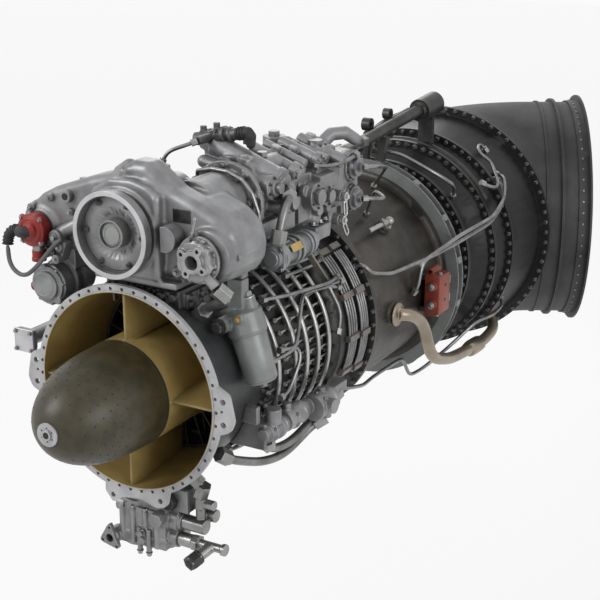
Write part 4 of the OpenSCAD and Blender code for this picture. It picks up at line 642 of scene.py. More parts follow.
def plate(shape, outline, front, back, softness):
    """Adds a plate of a drawn outline between two stations, its edges rounded, in millimetres."""
    points = [Vector((x, 0, z)) for x, z in outline]
    inner = []
    for i, at in enumerate(points):
        before = (at - points[i - 1]).normalized()
        after = (points[(i + 1) % len(points)] - at).normalized()
        inward = [Vector((-way.z, 0, way.x)) for way in (before, after)]
        inner.append(at + softness * (inward[0] + inward[1]) / (1 + inward[0].dot(inward[1])))
    for loop, y0, y1 in ((inner, front, back), (points, front + softness, back - softness)):
        low = [shape.verts.new((at + Vector((0, y0, 0))) * MM) for at in loop]
        high = [shape.verts.new((at + Vector((0, y1, 0))) * MM) for at in loop]
        shape.faces.new(low)
        shape.faces.new(high[::-1])
        for i in range(len(loop)):
            shape.faces.new((low[i - 1], high[i - 1], high[i], low[i]))
    for y in (front + softness, back - softness):
        edge = [(at + Vector((0, y, 0)), softness) for at in inner]
        limb(shape, *edge, edge[0])


def turned(shape, centre, profile, sides=96):
    """Adds a closed profile of radius and station turned about a line along the engine."""
    rings = []
    for step in range(sides):
        angle = 2 * pi * step / sides
        ring = [Vector((r * cos(angle), y, r * sin(angle))) + Vector(centre) for r, y in profile]
        rings.append([shape.verts.new(at * MM) for at in ring])
    made = []
    for i, ring in enumerate(rings):
        for j in range(len(ring)):
            made.append(shape.faces.new((ring[j - 1], rings[i - 1][j - 1], rings[i - 1][j], ring[j])))
    bmesh.ops.recalc_face_normals(shape, faces=made)


ADD_FORM = {"rod": rod, "bar": bar, "slab": slab, "limb": limb, "plate": plate, "turned": turned}


def formed(name, forms, material, slot, body="stator", nodes=(), edge=0.0):
    """A machined or moulded piece of crisp forms; edge is the size of its bevels, in millimetres."""
    shape = bmesh.new()
    for form, *sizes in forms:
        ADD_FORM[form](shape, *sizes)
    piece = built(name, shape)
    if edge:
        bevel = piece.modifiers.new("edges", "BEVEL")
        bevel.width = edge * MM
        bevel.segments = 2
        bevel.limit_method = "ANGLE"
        settle(piece)
    shaded(piece, 40)
    return stand_in(piece, material, slot, body, *nodes)


def cast(name, nodes, material, slot, extra=(), voxel=1.6, relax=5, keep=0.3):
    """A casting: solids of the frame and extra forms run together, with soft corners."""
    shape = copied(*nodes)
    for form, *sizes in extra:
        ADD_FORM[form](shape, *sizes)
    piece = built(name, shape)
    fused = piece.modifiers.new("fused", "REMESH")
    fused.mode = "VOXEL"
    fused.voxel_size = voxel * MM
    soft = piece.modifiers.new("soft corners", "SMOOTH")
    soft.factor = 0.5
    soft.iterations = relax
    lighter = piece.modifiers.new("lighter", "DECIMATE")
    lighter.ratio = keep
    settle(piece)
    piece.data.shade_smooth()
    return stand_in(piece, material, slot, "stator", *nodes)


right_arm = ((60, 207), (160, 207), (194, 222), (207, 242), (211, 270), (201, 303), (176, 325),
             (134, 345), (90, 361), (38, 400), (8, 401), (-14, 388), (-14, 300))
arm_back = right_arm[:8] + ((96, 352), (40, 350), (40, 300))
left_arm = ((-8, 300), (-8, 388), (-34, 375), (-85, 362), (-129, 347), (-169, 333), (-198, 318),
            (-218, 300), (-226, 276), (-214, 240), (-150, 226), (-66, 214))
pad_block = ((70, 207), (74, 240), (74, 352), (52, 366), (20, 374), (-24, 372), (-60, 352), (-76, 310),
             (-76, 270), (-66, 240), (-66, 207))
gearbox_forms = [
    ("plate", right_arm, 26, 84, 17), ("plate", arm_back, 28, 138, 20), ("plate", left_arm, 34, 104, 16),
    ("plate", pad_block, 7, 60, 6), ("bar", 0, 286, 2, 40, 72, 84),
    ("limb", ((66, 13, 214), 8), ((67, 13, 346), 8)), ("limb", ((36, 34, 366), 13), ((62, 36, 358), 12)),
    ("limb", ((4, 34, 384), 10), ((30, 40, 386), 12)), ("bar", -194, 261, 100, 40, 48),
    ("bar", -194, 261, 46, 32, 39, 38), ("bar", -194, 261, 36, 27, 33), ("bar", 164, 264, 34, 10, 46, 44),
    ("slab", (-64, 10, 196), (104, 130, 208)), ("slab", (-50, 100, 204), (90, 146, 290)),
    ("limb", ((204, 34, 258), 5), ((212, 84, 266), 4)),
    ("limb", ((-150, 38, 322), 5), ((-96, 38, 286), 5)), ("bar", 86, 304, 90, 158, 60),
    ("bar", -40, 300, 90, 128, 52), ("bar", -194, 261, 80, 112, 34),
    ("slab", (152, 92, 205), (182, 112, 250)), ("limb", ((-40, 60, 372), 10), ((-14, 56, 386), 12))]
casing = cast("gearbox_casting", [], cast_metal, "cast_aluminium", gearbox_forms, voxel=2.2, relax=6)
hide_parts("gearbox_case")
boss_forms = [
    ("bar", -132, 324, 24, 44, 11, 12), ("bar", -170, 317, 26, 44, 7, 8),
    ("bar", -212, 294, 26, 50, 8, 9), ("bar", -125, 297, 26, 44, 6, 7), ("bar", 148, 300, 0, 30, 5, 6),
    ("bar", 206, 262, 36, 50, 7), ("bar", 100, 226, 18, 34, 9),
    ("rod", (-118, 60, 340), (-118, 60, 352), 7), ("bar", -150, 252, 12, 50, 13),
    ("bar", -140, 236, 8, 40, 8), ("bar", -156, 226, 6, 36, 8),
    ("slab", (-160, 14, 214), (-132, 36, 250), 20), ("bar", -143, 216, 2, 30, 8),
    ("bar", -60, 236, 12, 40, 7), ("limb", ((-150, 30, 256), 12), ((-120, 40, 274), 12)),
    ("bar", 132, 232, 8, 30, 8)]
cast("gearbox_bosses", [], cast_metal, "cast_aluminium", boss_forms, voxel=1.0, relax=3, keep=0.4)
half_boss = [(93 + 22 * cos(radians(a)), 286 + 22 * sin(radians(a))) for a in range(-110, 111, 10)]
formed("gearbox_half_boss", [("plate", half_boss, -5, 40, 1.2)], cast_metal, "cast_aluminium")
saddle_forms = [("rod", (x, 24, 176), (x, 60, 176), 7) for x in (-52, -14, 22, 58, 84)]
saddle_forms += [("rod", (98, y, 156), (104, y, 156), 9) for y in (66, 100, 130)]
saddle_forms += [("slab", (x, 30, 150), (x + 5, 40, 186)) for x in (-44, -6, 30, 66)]
cast("gearbox_neck", ["gearbox_saddle"], dark_cast, "dark_cast", saddle_forms, voxel=1.6)


def facing(axis, *spots):
    """Points given in millimetres, each with the same axis."""
    return [(Vector(at) * MM, axis) for at in spots]


steel = finish("machined steel", (0.34, 0.34, 0.335), (0.24, 0.24, 0.235), 0.85, 0.32, grime_and_shade=0.7,
               wear_and_highlight=0.5, bright=(0.85, 0.85, 0.84), turned=0.3)


def bolts(name, points, head, height, **look):
    """Bolt heads or nuts of machined steel at points, sizes in millimetres."""
    return studs(name, points, steel, "bright_steel", head, height, **look)


case_screws = [((-170, 25.6, 317), 3.6), ((-212, 25.6, 294), 4.2), ((-125, 25.6, 297), 3.4),
               ((-150, 11.6, 252), 5.0), ((-140, 7.6, 236), 3.6), ((-156, 5.6, 226), 3.6),
               ((-143, 1.6, 216), 3.6), ((100, 17.6, 226), 4.2), ((206, 35.6, 262), 3.4),
               ((132, 7.6, 232), 3.4)]
for size in sorted({r for _, r in case_screws}):
    spots = facing(AHEAD, *[at for at, r in case_screws if r == size])
    bolts("case_screws_%d" % round(size * 10), spots, size, size)
# A dark disc in the socket's mouth: painted shade for its recess.
studs("case_socket", facing(AHEAD, (-132, 23.8, 324)), hole_shade, "dark_cast", 6.0, 0.8, sides=20,
      washer=1.0)
plate_black = finish("blackened plate", (0.016, 0.016, 0.017), (0.024, 0.024, 0.025), 0.3, 0.3,
                     wear_and_highlight=0.8, bright=(0.5, 0.5, 0.5))
formed("bare_plate", [("slab", (92, 24.4, 310), (126, 27, 332))], plate_black, "dark_steel", edge=0.4)
formed("locking_pin", [("limb", ((151, 2, 327), 3.2), ((149, -2, 306), 2.6)),
                       ("rod", (149, -2, 306), (148.4, -3.5, 299), 4.6, 2.0)], steel, "bright_steel")


# ------------------------------------------------------- starter pad and drive
# A turned steel dish on six screws with a bright outer ring; the splined cup in
# its middle is the drive that the starter turns.

# The dish's steel is a darker copy and the rim's a lighter copy of one steel: painted shade in the dish
# and its cup, and a painted highlight on the rim's face.
dish_steel = finish("dish steel", (0.30, 0.30, 0.305), (0.20, 0.20, 0.205), 0.7, 0.42, grime_and_shade=0.7,
                    wear_and_highlight=0.3, turned=0.3, bump=0.08)
rim_steel = finish("rim steel", (0.62, 0.62, 0.635), (0.50, 0.50, 0.515), 0.5, 0.36, grime_and_shade=0.4,
                   wear_and_highlight=0.3, turned=0.3)
smooth_copy("starter_dish", "starter_pad", dish_steel, "bright_steel")
smooth_copy("starter_cup", "starter_drive", dish_steel, "bright_steel", body="starter")
dress("tower_shaft", steel)
STARTER_AXIS = (0, 0, 286)
rim = ("turned", STARTER_AXIS, ((66.4, -27.6), (66.4, -28.6), (74.2, -28.6), (74.6, -28.2), (74.6, -27.6)))
groove = ("turned", STARTER_AXIS, ((62.6, -13.6), (63.6, -13.6), (63.6, -12.4), (62.6, -12.4)))
formed("starter_rim", [rim], rim_steel, "bright_steel")
# The groove in the dish's floor is a dark ring: painted shade.
formed("starter_floor_groove", [groove], hole_shade, "dark_steel")
dish_screws = circle_points((0, -0.0150, 0.286), AHEAD, 0.057, 6, 30)
studs("starter_screws", dish_screws, dark_steel, "dark_steel", 3.9, 3.4, washer=1.3)
cup_disc = finish("cup disc", (0.36, 0.375, 0.355), (0.29, 0.30, 0.285), 0.2, 0.42, grime_and_shade=0.5)
disc_forms = [("bar", 0, 286, -19.2, -20.2, 19.4, 18.9, 64),
              ("turned", STARTER_AXIS, ((14.4, -20), (14.4, -21.4), (16.2, -21.4), (16.2, -20)))]
formed("starter_cup_disc", disc_forms, cup_disc, "bright_steel", "starter")


# ------------------------------------------------------------------ square pad
# A bright cast pad with a bore and four bolt lugs for a shaft-driven accessory,
# stepped out from the casting on an eight-sided body.

pad_cast = finish("pad casting", (0.40, 0.40, 0.405), (0.28, 0.28, 0.285), 0.5, 0.38, patch=25,
                  grain=700, bump=0.15, grime_and_shade=0.9, wear_and_highlight=0.4, bright=(0.62, 0.62, 0.62))
cast("square_drive_pad", ["square_pad"], pad_cast, "bright_steel", voxel=1.0, relax=3, keep=0.4)
pad_ring = circle_points((0.156, -0.0006, 0.260), AHEAD, 0.036, 8, 22.5)
bolts("square_pad_nuts", pad_ring, 3.4, 4.0)


# ------------------------------------------ transit caps, boot and sense cable
# Red plastic caps close the open ports on the left. The large one has four screwed
# lobes and a ribbed rubber boot, from which a grey cable loops to the casting.

red_plastic = finish("red plastic", (0.30, 0.016, 0.009), (0.20, 0.010, 0.006), 0.0, 0.42, patch=30,
                     bump=0.06, grime_and_shade=0.5, wear_and_highlight=0.15, bright=(0.6, 0.12, 0.09))
rubber = finish("black rubber", (0.018, 0.018, 0.018), (0.030, 0.029, 0.028), 0.0, 0.62, bump=0.2,
                grime_and_shade=0.2, wear_and_highlight=0.1, bright=(0.08, 0.08, 0.08))
cable_jacket = finish("grey cable jacket", (0.14, 0.14, 0.145), (0.09, 0.09, 0.093), 0.0, 0.5,
                      bump=0.15, grime_and_shade=0.3, wear_and_highlight=0.2, bright=(0.3, 0.3, 0.3))
cap_forms = [
    ("bar", -194, 261, 24, 2, 29), ("bar", -194, 261, 3, -2, 27, 22),
    ("rod", (-194, 0, 261), (-196, -7, 260), 17, 12), ("rod", (-190, 16, 224), (-190, 16, 206), 12),
    ("rod", (-190, 16, 210), (-190, 16, 204), 13), ("bar", -214, 150, 26, 44, 9)]
for at, _ in circle_points((-194, 5, 261), AHEAD, 28, 4, 45):
    cap_forms.append(("bar", at.x, at.z, at.y + 4, at.y - 1, 6.5))
caps = cast("transit_caps", [], red_plastic, "red_plastic", cap_forms, voxel=0.9, relax=3, keep=0.4)
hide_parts("red_caps")
formed("cap_collar", [("rod", (-190, 16, 238), (-190, 16, 223), 10, 11)], steel, "bright_steel")
root_form = ("limb", ((-195, -4, 260.5), 10.5), ((-200, -9, 259.5), 10.2), ((-212, -4, 257), 9.8),
             ((-224, 8, 255), 9.3))
formed("boot_root", [root_form], rubber, "black_rubber")


def tube_copy(name, node, material, slot, swell, rounds=2):
    """A pipe of the frame as an even, round tube; swell makes up for the rounding."""
    shape = copied(node)
    bmesh.ops.join_triangles(shape, faces=shape.faces, angle_face_threshold=radians(28),
                             angle_shape_threshold=radians(60))
    shape.normal_update()
    for vert in shape.verts:
        vert.co += vert.normal * swell * MM
    piece = built(name, shape)
    smooth = piece.modifiers.new("round", "SUBSURF")
    smooth.levels = rounds
    smooth.render_levels = rounds
    settle(piece)
    piece.data.shade_smooth()
    return stand_in(piece, material, slot, "stator", node)


tube_copy("boot_elbow", "cap_elbow", rubber, "black_rubber", 0.4, rounds=1)
tube_copy("sense_cable_run", "sense_cable", cable_jacket, "grey_cable", 0.4)


def rib_tree():
    """Rounded rings along a line of points."""
    tree, given = new_tree("ribs on a path", [
        ("Radius", "Float", 0.01), ("Thickness", "Float", 0.002), ("Spacing", "Float", 0.005),
        ("Material", "Material", None)])
    line = add(tree, "GeometryNodeMeshToCurve", {0: given[0]}).outputs[0]
    even = add(tree, "GeometryNodeResampleCurve", {"Curve": line}, mode="LENGTH")
    tree.links.new(given[3], even.inputs["Length"])
    spots = add(tree, "GeometryNodeCurveToPoints", {"Curve": even.outputs[0]}, mode="EVALUATED")
    loop = add(tree, "GeometryNodeCurvePrimitiveCircle", {"Resolution": 32, "Radius": given[1]})
    bead = add(tree, "GeometryNodeCurvePrimitiveCircle", {"Resolution": 8, "Radius": given[2]})
    rib = add(tree, "GeometryNodeCurveToMesh", {"Curve": loop.outputs[0],
                                                "Profile Curve": bead.outputs[0]})
    placed = add(tree, "GeometryNodeInstanceOnPoints", {"Points": spots.outputs[0],
                                                        "Instance": rib.outputs[0],
                                                        "Rotation": spots.outputs["Rotation"]})
    close_tree(tree, placed.outputs[0], given[4])
    return tree


RIBS = rib_tree()


def ribs(name, route, radius, thickness, spacing, material, slot):
    """Ribs of a hose or a grip along a route in millimetres."""
    mesh = bpy.data.meshes.new(name)
    mesh.from_pydata([Vector(p) * MM for p in route], [(i, i + 1) for i in range(len(route) - 1)], [])
    piece = grown(name, mesh, RIBS, {"Radius": radius * MM, "Thickness": thickness * MM,
                                     "Spacing": spacing * MM, "Material": material})
    piece.data.shade_smooth()
    return stand_in(piece, material, slot, "stator")


ribs("boot_ribs", [(-222, 13, 255.6), (-238, 13, 254), (-245, 11.5, 251), (-248.6, 9, 246),
                   (-249.8, 6, 238), (-250, 4.6, 229)], 9.2, 1.3, 5, rubber, "black_rubber")
bolts("cap_bolts", circle_points((-0.194, 0.0038, 0.261), AHEAD, 0.029, 4, 45), 3.0, 3.2)


# ---------------------------------------------------------- left pump and port
# A round scavenge pump under the left arm, and below it a square port, closed by a
# bolted plate, with a bent neck that joins the intake casting.

pump_forms = [
    ("bar", -180, 159, 26, 30, 38), ("bar", -180, 159, 58, 62, 40), ("bar", -208, 176, 40, 96, 7),
    ("bar", -156, 134, 18, 90, 7), ("rod", (-210, 50, 140), (-222, 50, 136), 9)]
cast("left_scavenge_pump", ["left_pump"], cast_metal, "cast_aluminium", pump_forms, voxel=1.3)
pump_face = finish("pump face paint", (0.33, 0.35, 0.345), (0.26, 0.275, 0.27), 0.2, 0.42, grime_and_shade=0.5)
formed("left_pump_face", [("bar", -184, 160, 14, 26, 23, 25),
                          ("turned", (-184, 0, 160), ((19, 13.4), (19, 15), (21.5, 15), (21.5, 13.4)))],
       pump_face, "grey_green", edge=0.8)
cast("left_intake_port", ["left_port"], cast_metal, "cast_aluminium", voxel=1.2, relax=4)
formed("port_blanking_plate", [("plate", ((-246, 8), (-246, 52), (-290, 52), (-290, 8)), 47.5, 51.7, 1)],
       rim_steel, "bright_steel")
plate_corners = [(x, 47.4, z) for x in (-285, -251) for z in (13, 47)]
bolts("port_plate_bolts", facing(AHEAD, *plate_corners), 3.4, 4.0)
bolts("left_pump_bolts", circle_points((-0.180, 0.0255, 0.159), AHEAD, 0.034, 8, 10), 3.2, 3.6)


# ------------------------------------------------------------------- fuel pump
# A pale aluminium body behind the right arm, clamped at a bolted ring, with a
# cluster of capped side chambers, a slanted barrel and the bracket legs that
# carry the vane actuator.

fuel_pump_forms = [
    ("bar", 86, 304, 176, 184, 62), ("bar", 86, 304, 184, 300, 57, 54),
    ("rod", (20, 262, 386), (150, 262, 338), 22), ("rod", (-2, 262, 394), (24, 262, 384), 17),
    ("rod", (146, 262, 340), (158, 262, 335), 24), ("rod", (158, 262, 335), (167, 262, 332), 17),
    ("limb", ((40, 300, 352), 22), ((90, 300, 338), 24), ((140, 300, 312), 22)),
    ("rod", (96, 216, 350), (112, 216, 344), 14), ("rod", (96, 238, 362), (100, 238, 378), 13),
    ("rod", (134, 246, 292), (168, 246, 292), 10), ("rod", (134, 270, 306), (166, 270, 306), 8),
    ("bar", -40, 300, 150, 156, 42), ("bar", -40, 300, 196, 202, 41),
    ("slab", (-46, 128, 332), (-34, 190, 346)), ("rod", (-78, 176, 320), (-86, 176, 324), 9),
    ("limb", ((10, 240, 360), 12), ((44, 244, 352), 14)), ("slab", (96, 300, 300), (150, 330, 336), 18)]
cast("fuel_pump_body", ["fuel_pump"], cast_metal, "cast_aluminium", fuel_pump_forms, voxel=1.6, relax=7)
clamp_forms = []
CLAMP_AT = Vector((86, 178, 304))
lobes = circle_points(CLAMP_AT, AHEAD, 61, 8, 10)
for (at, _), (after, _) in zip(lobes, lobes[1:] + lobes[:1]):
    clamp_forms.append(("bar", at.x, at.z, at.y - 5, at.y + 7, 10.5))
    middle = (at + after) / 2
    middle += (middle - CLAMP_AT).normalized() * 3
    clamp_forms.append(("limb", (at, 5.5), (middle, 5.0), (after, 5.5)))
loop_route = ((36, 180, 352), (44, 170, 361), (74, 168, 368), (108, 166, 367), (136, 166, 356),
              (155, 168, 334), (166, 170, 302), (170, 172, 262), (170, 176, 244))
formed("pump_loop_pipe", [("limb", *[(at, 3.3) for at in loop_route])], steel, "bright_steel")
cast("fuel_pump_clamp", [], dark_cast, "dark_cast", clamp_forms, voxel=1.2, relax=3, keep=0.4)
bolts("fuel_pump_clamp_bolts", circle_points((0.086, 0.173, 0.304), AHEAD, 0.061, 8, 10), 5.0, 4.0)
for place, y, way in (("ring", 0.187, AHEAD), ("end", 0.203, BEHIND)):
    bolts("fuel_pump_%s_bolts" % place, circle_points((0.086, y, 0.304), way, 0.068, 10), 4.4, 4.5)
cap_points = circle_points((0.1585, 0.236, 0.330), RIGHT, 0.0175, 6)
cap_points += circle_points((0.1625, 0.292, 0.292), RIGHT, 0.0145, 6)
studs("fuel_pump_cap_screws", cap_points, dark_steel, "dark_steel", 2.2, 2.6)


# ---------------------------------------------------------------- fuel control
# The control is a stack of machined aluminium blocks with turned covers, ported
# plugs and diaphragm housings, standing on two feet over the combustor's front.

control_forms = [
    ("rod", (52, 335, 370), (140, 335, 338), 14), ("rod", (134, 335, 340), (150, 335, 334), 18),
    ("rod", (150, 335, 334), (156, 335, 332), 13), ("rod", (60, 366, 374), (146, 366, 344), 10),
    ("rod", (70, 404, 372), (150, 404, 346), 12), ("rod", (144, 404, 348), (156, 404, 344), 15),
    ("rod", (60, 440, 366), (150, 440, 338), 11), ("rod", (70, 474, 366), (166, 474, 330), 13),
    ("rod", (66, 500, 360), (150, 500, 330), 9), ("slab", (110, 384, 286), (166, 440, 326), 12),
    ("slab", (116, 396, 322), (154, 428, 338), 14), ("rod", (134, 410, 330), (138, 410, 346), 9),
    ("rod", (122, 424, 330), (126, 424, 346), 6), ("rod", (88, 352, 356), (94, 352, 376), 10),
    ("rod", (104, 386, 354), (110, 386, 370), 9), ("rod", (88, 422, 358), (94, 422, 374), 8),
    ("rod", (110, 456, 350), (116, 456, 364), 9), ("rod", (84, 488, 356), (90, 488, 374), 10),
    ("rod", (128, 488, 338), (134, 488, 356), 8), ("slab", (30, 350, 330), (76, 410, 352), 14),
    ("slab", (20, 430, 326), (70, 500, 346), 14), ("slab", (96, 380, 198), (160, 440, 226), 6),
    ("limb", ((60, 380, 250), 26), ((110, 390, 244), 26), ((140, 400, 238), 18)),
    ("rod", (146, 350, 300), (158, 350, 300), 11), ("rod", (146, 452, 300), (162, 452, 300), 12),
    ("rod", (146, 396, 254), (162, 396, 254), 11), ("rod", (146, 440, 250), (156, 440, 250), 9),
    ("rod", (150, 533, 310), (157, 533, 310), 29), ("rod", (150, 534, 248), (157, 534, 248), 27),
    ("rod", (157, 533, 310), (168, 533, 310), 20, 14), ("rod", (157, 534, 248), (170, 534, 248), 18, 15),
    ("slab", (110, 540, 290), (152, 572, 330)), ("rod", (60, 540, 310), (60, 540, 332), 18),
    ("limb", ((96, 520, 352), 13), ((104, 540, 366), 13), ((120, 566, 366), 13), ((130, 590, 350), 12)),
    ("rod", (94, 516, 346), (98, 522, 356), 17), ("rod", (10, 540, 296), (10, 540, 320), 12),
    ("rod", (-30, 560, 276), (-44, 560, 276), 14), ("rod", (-70, 376, 300), (-78, 376, 300), 12),
    ("rod", (-64, 470, 280), (-72, 470, 280), 12)]
top_studs = ((10, 350), (10, 512), (92, 512), (36, 396), (36, 460))
control_forms += [("rod", (x, y, 320), (x, y, 344), 7) for x, y in top_studs]
cast("fuel_control_body", ["fuel_control"], cast_metal, "cast_aluminium", control_forms, voxel=1.5)
bolts("control_top_bolts", facing(UP, *[(x, y, 343.5) for x, y in top_studs]), 4.2, 4.5)
slant = Vector((0.936, 0, -0.352))
barrel_ends = circle_points((0.1505, 0.335, 0.334), slant, 0.0145, 6)
barrel_ends += circle_points((0.1565, 0.404, 0.344), slant, 0.0115, 6)
bolts("control_barrel_screws", barrel_ends, 2.4, 3.0)
block_bolts = [(x, y, 226.5) for x, y in ((112, 388), (150, 388), (152, 412), (150, 434), (114, 434))]
studs("control_block_bolts", facing(UP, *block_bolts), bright_steel, "bright_steel", 4.4, 4.6)
cover_screws = []
for at, r, count in (((0.1571, 0.533, 0.310), 0.0245, 10), ((0.1571, 0.534, 0.248), 0.0245, 10),
                     ((0.1702, 0.372, 0.286), 0.021, 6), ((0.1642, 0.424, 0.276), 0.0158, 6)):
    cover_screws += circle_points(at, RIGHT, r, count)
studs("control_cover_screws", cover_screws, dark_steel, "dark_steel", 2.0, 2.4)
top_rings = []
for at, r in (((0.070, 0.376, 0.3522), 0.0215), ((0.108, 0.470, 0.3582), 0.0195)):
    top_rings += circle_points(at, UP, r, 6)
studs("control_top_screws", top_rings, dark_steel, "dark_steel", 2.2, 2.6)
smooth_copy("control_cover_caps", "control_caps", cast_metal, "cast_aluminium")
lever_runs = [("throttle_lever", "throttle", Vector((173, 470, 266)), Vector((0, 0.1, -0.995))),
              ("governor_lever", "governor", Vector((173, 462, 222)), Vector((0, 0.53, -0.85)))]
for node, body, pivot, way in lever_runs:
    aside = Vector((0, -way.z, way.y))
    loop = [pivot + way * run + aside * offset for run, offset in (
        (9, -3), (12, -5), (34, -5), (38, -3), (38, 3), (34, 5), (12, 5), (9, 3))]
    stops = [(at, 1.8) for at in loop]
    arm_forms = [("limb", *stops, stops[0]), ("rod", pivot - 4 * RIGHT, pivot + 4 * RIGHT, 8.5),
                 ("rod", pivot + 4 * RIGHT, pivot + 8 * RIGHT, 4.5),
                 ("limb", (pivot, 3.2), (pivot + way * 10, 3.0))]
    formed(node + "_arm", arm_forms, bright_steel, "bright_steel", body, (node,))


# ----------------------------------------------------------------- start valve
# A dark electric valve lies across the pump's neck: a ported body, a clamped
# middle flange and a black moulded plug, with a pipe from its low end.

valve_low = Vector((-22, 264, 393))
valve_lean = Vector((90, 0, 18))
valve_forms = [("rod", valve_low + start * valve_lean, valve_low + end * valve_lean, r)
               for start, end, r in ((0.30, 0.38, 15), (0.52, 0.57, 16), (0.80, 0.86, 14))]
valve_forms += [("slab", (-2, 252, 396), (16, 282, 412)), ("bar", 8, 402, 252, 242, 8),
                ("rod", (-4, 262, 402), (-4, 262, 419), 6), ("bar", 34, 404, 256, 246, 7),
                ("slab", (26, 258, 408), (50, 272, 420), -11)]
cast("start_valve_body", ["start_valve"], dark_cast, "dark_cast", valve_forms, voxel=1.0, relax=3,
     keep=0.4)
plug = valve_low + 0.98 * valve_lean
tip = valve_low + 1.22 * valve_lean
plug_forms = [("rod", plug, tip, 11, 10.5), ("limb", (tip, 10.5), (tip + Vector((6, 0, -6)), 10.0),
                                             (tip + Vector((6, 0, -20)), 8.5))]
plug_forms += [("rod", plug.lerp(tip, part), plug.lerp(tip, part + 0.08), 12.4)
               for part in (0.15, 0.4, 0.65)]
formed("start_valve_plug", plug_forms, rubber, "black_rubber")


# --------------------------------------------------------- filter and actuator
# The grey-green fuel filter hangs, leaning, from a head beside the intake; above it
# lies the actuator that turns the unison rings, with a square flange and two bands.

filter_paint = finish("filter paint", (0.27, 0.285, 0.282), (0.205, 0.216, 0.214), 0.2, 0.4,
                      patch=18, grime_and_shade=0.6, wear_and_highlight=0.35, bright=(0.5, 0.5, 0.48))
FILTER_AT = Vector((179, 110, 115))
LEAN = radians(17.7)
FILTER_DOWN = Vector((sin(LEAN), 0, -cos(LEAN)))
FILTER_RIGHT = Vector((cos(LEAN), 0, sin(LEAN)))


def on_filter(along, right=0.0, front=0.0):
    """A point in millimetres at a distance down the leaning filter from its rim."""
    return FILTER_AT + along * FILTER_DOWN + right * FILTER_RIGHT + front * AHEAD


head_forms = [("rod", on_filter(-30), on_filter(6), 33, 35), ("slab", (150, 96, 140), (180, 112, 200)),
              ("rod", on_filter(-37), on_filter(-29), 24, 33),
              ("rod", on_filter(-34, 16), on_filter(-52, 16), 14),
              ("rod", on_filter(-20, -18), on_filter(-20, -18, 52), 14),
              ("rod", on_filter(-24, 12), on_filter(-24, 12, 37), 9),
              ("rod", on_filter(-22, -20), on_filter(-22, -48), 13)]
cast("filter_head_casting", ["filter_head"], filter_paint, "grey_green", head_forms, voxel=1.2, relax=5)
can_forms = [("rod", on_filter(start), on_filter(end), r0, r1, sides) for start, end, r0, r1, sides in (
    (2, 10, 33, 33, 64), (8, 92, 31, 28.5, 64), (92, 97, 28.5, 24, 64), (96, 106, 8, 8, 6))]
formed("filter_can", can_forms, filter_paint, "grey_green", "stator", ("filter_bowl",), edge=1.4)
bolts("filter_plug", facing(-FILTER_DOWN, on_filter(-51, 16)), 10.5, 9)
studs("filter_union", facing(AHEAD, on_filter(-20, -18, 51)), dark_steel, "dark_steel", 11, 9)
studs("filter_head_bolt", facing(AHEAD, on_filter(-24, 12, 36)), brass, "brass_fittings", 5, 5)

actuator_paint = finish("actuator paint", (0.30, 0.31, 0.315), (0.22, 0.23, 0.234), 0.35, 0.36,
                        patch=18, grime_and_shade=0.7, wear_and_highlight=0.4, bright=(0.6, 0.6, 0.6))
low, high = [Vector(corner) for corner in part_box("vane_actuator")]
actuator_x = (low.x + high.x) / 2 / MM
actuator_z = (low.z + high.z) / 2 / MM
actuator_y = low.y / MM
cylinder_forms = [("bar", actuator_x, actuator_z, actuator_y + y, actuator_y + y + 8, r0, r1)
                  for y, r0, r1 in ((16, 27, 27), (2, 19, 20), (24, 24.5, 24.5), (60, 24.5, 24.5),
                                    (74, 26.5, 26.5))]
cast("actuator_cylinder", ["vane_actuator"], actuator_paint, "grey_green", cylinder_forms, voxel=0.9,
     relax=3, keep=0.4)
plate_form = ("slab", (actuator_x + 20.4, 226, actuator_z + 5.4),
              (actuator_x + 21.6, 268, actuator_z + 19.4), -31)
formed("actuator_bare_plate", [plate_form], brass, "brass_fittings")
corners = [(actuator_x + a, actuator_y + 7.6, actuator_z + b) for a in (-18, 18) for b in (-18, 18)]
bolts("actuator_bolts", facing(AHEAD, *corners), 3.6, 3.6)


# ------------------------------------------------------------------ side pumps
# A string of small pumps and valves lies along the lower right of the intake and
# compressor, joined end to end and held by a bracket.

side_forms = [
    ("bar", 202, -84, 140, 144, 20), ("bar", 202, -84, 176, 180, 19), ("bar", 206, -80, 206, 212, 23),
    ("bar", 206, -80, 232, 236, 22), ("bar", 218, -84, 284, 288, 28), ("bar", 218, -84, 316, 322, 27),
    ("rod", (206, 196, -62), (206, 196, -48), 8), ("rod", (218, 300, -62), (218, 300, -52), 8)]
cast("side_pump_string", ["side_pumps"], cast_metal, "cast_aluminium", side_forms, voxel=1.2)
side_bolts = circle_points((0.202, 0.139, -0.084), AHEAD, 0.0175, 6)
side_bolts += circle_points((0.206, 0.205, -0.080), AHEAD, 0.0205, 6)
side_bolts += circle_points((0.218, 0.283, -0.084), AHEAD, 0.0255, 8)
bolts("side_pump_bolts", side_bolts, 2.6, 3.0)


# ------------------------------------------------------- oil pump and fittings
# The bottom casting holds the oil pumps behind a ribbed, bolted cover; steel unions
# with dark hexagon nuts leave it to the right for the oil pipes.

cast("oil_pump_casting", ["oil_pump"], cast_metal, "cast_aluminium", voxel=1.3)
cast("oil_unions", ["oil_fittings"], steel, "bright_steel", voxel=1.0, relax=3, keep=0.4)
cover_bolts = facing(UP, *[(x, 36, -246) for x in (-48, -24, 4, 28)])
cover_bolts += facing(-UP, (-8, 32, -322), (12, 32, -322)) + facing(AHEAD, (2, 27, -283))
bolts("oil_cover_bolts", cover_bolts, 4.8, 6.0, washer=1.3)
union_root, union_way = Vector((130, 62, -292)), Vector((-14, -54, -14)).normalized()
nuts = facing(union_way, union_root + 33 * union_way) + facing(AHEAD, (52, 62, -217))
studs("oil_port_nuts", nuts, dark_steel, "dark_steel", 15.0, 20.4, washer=0.9, chamfer=0.93)
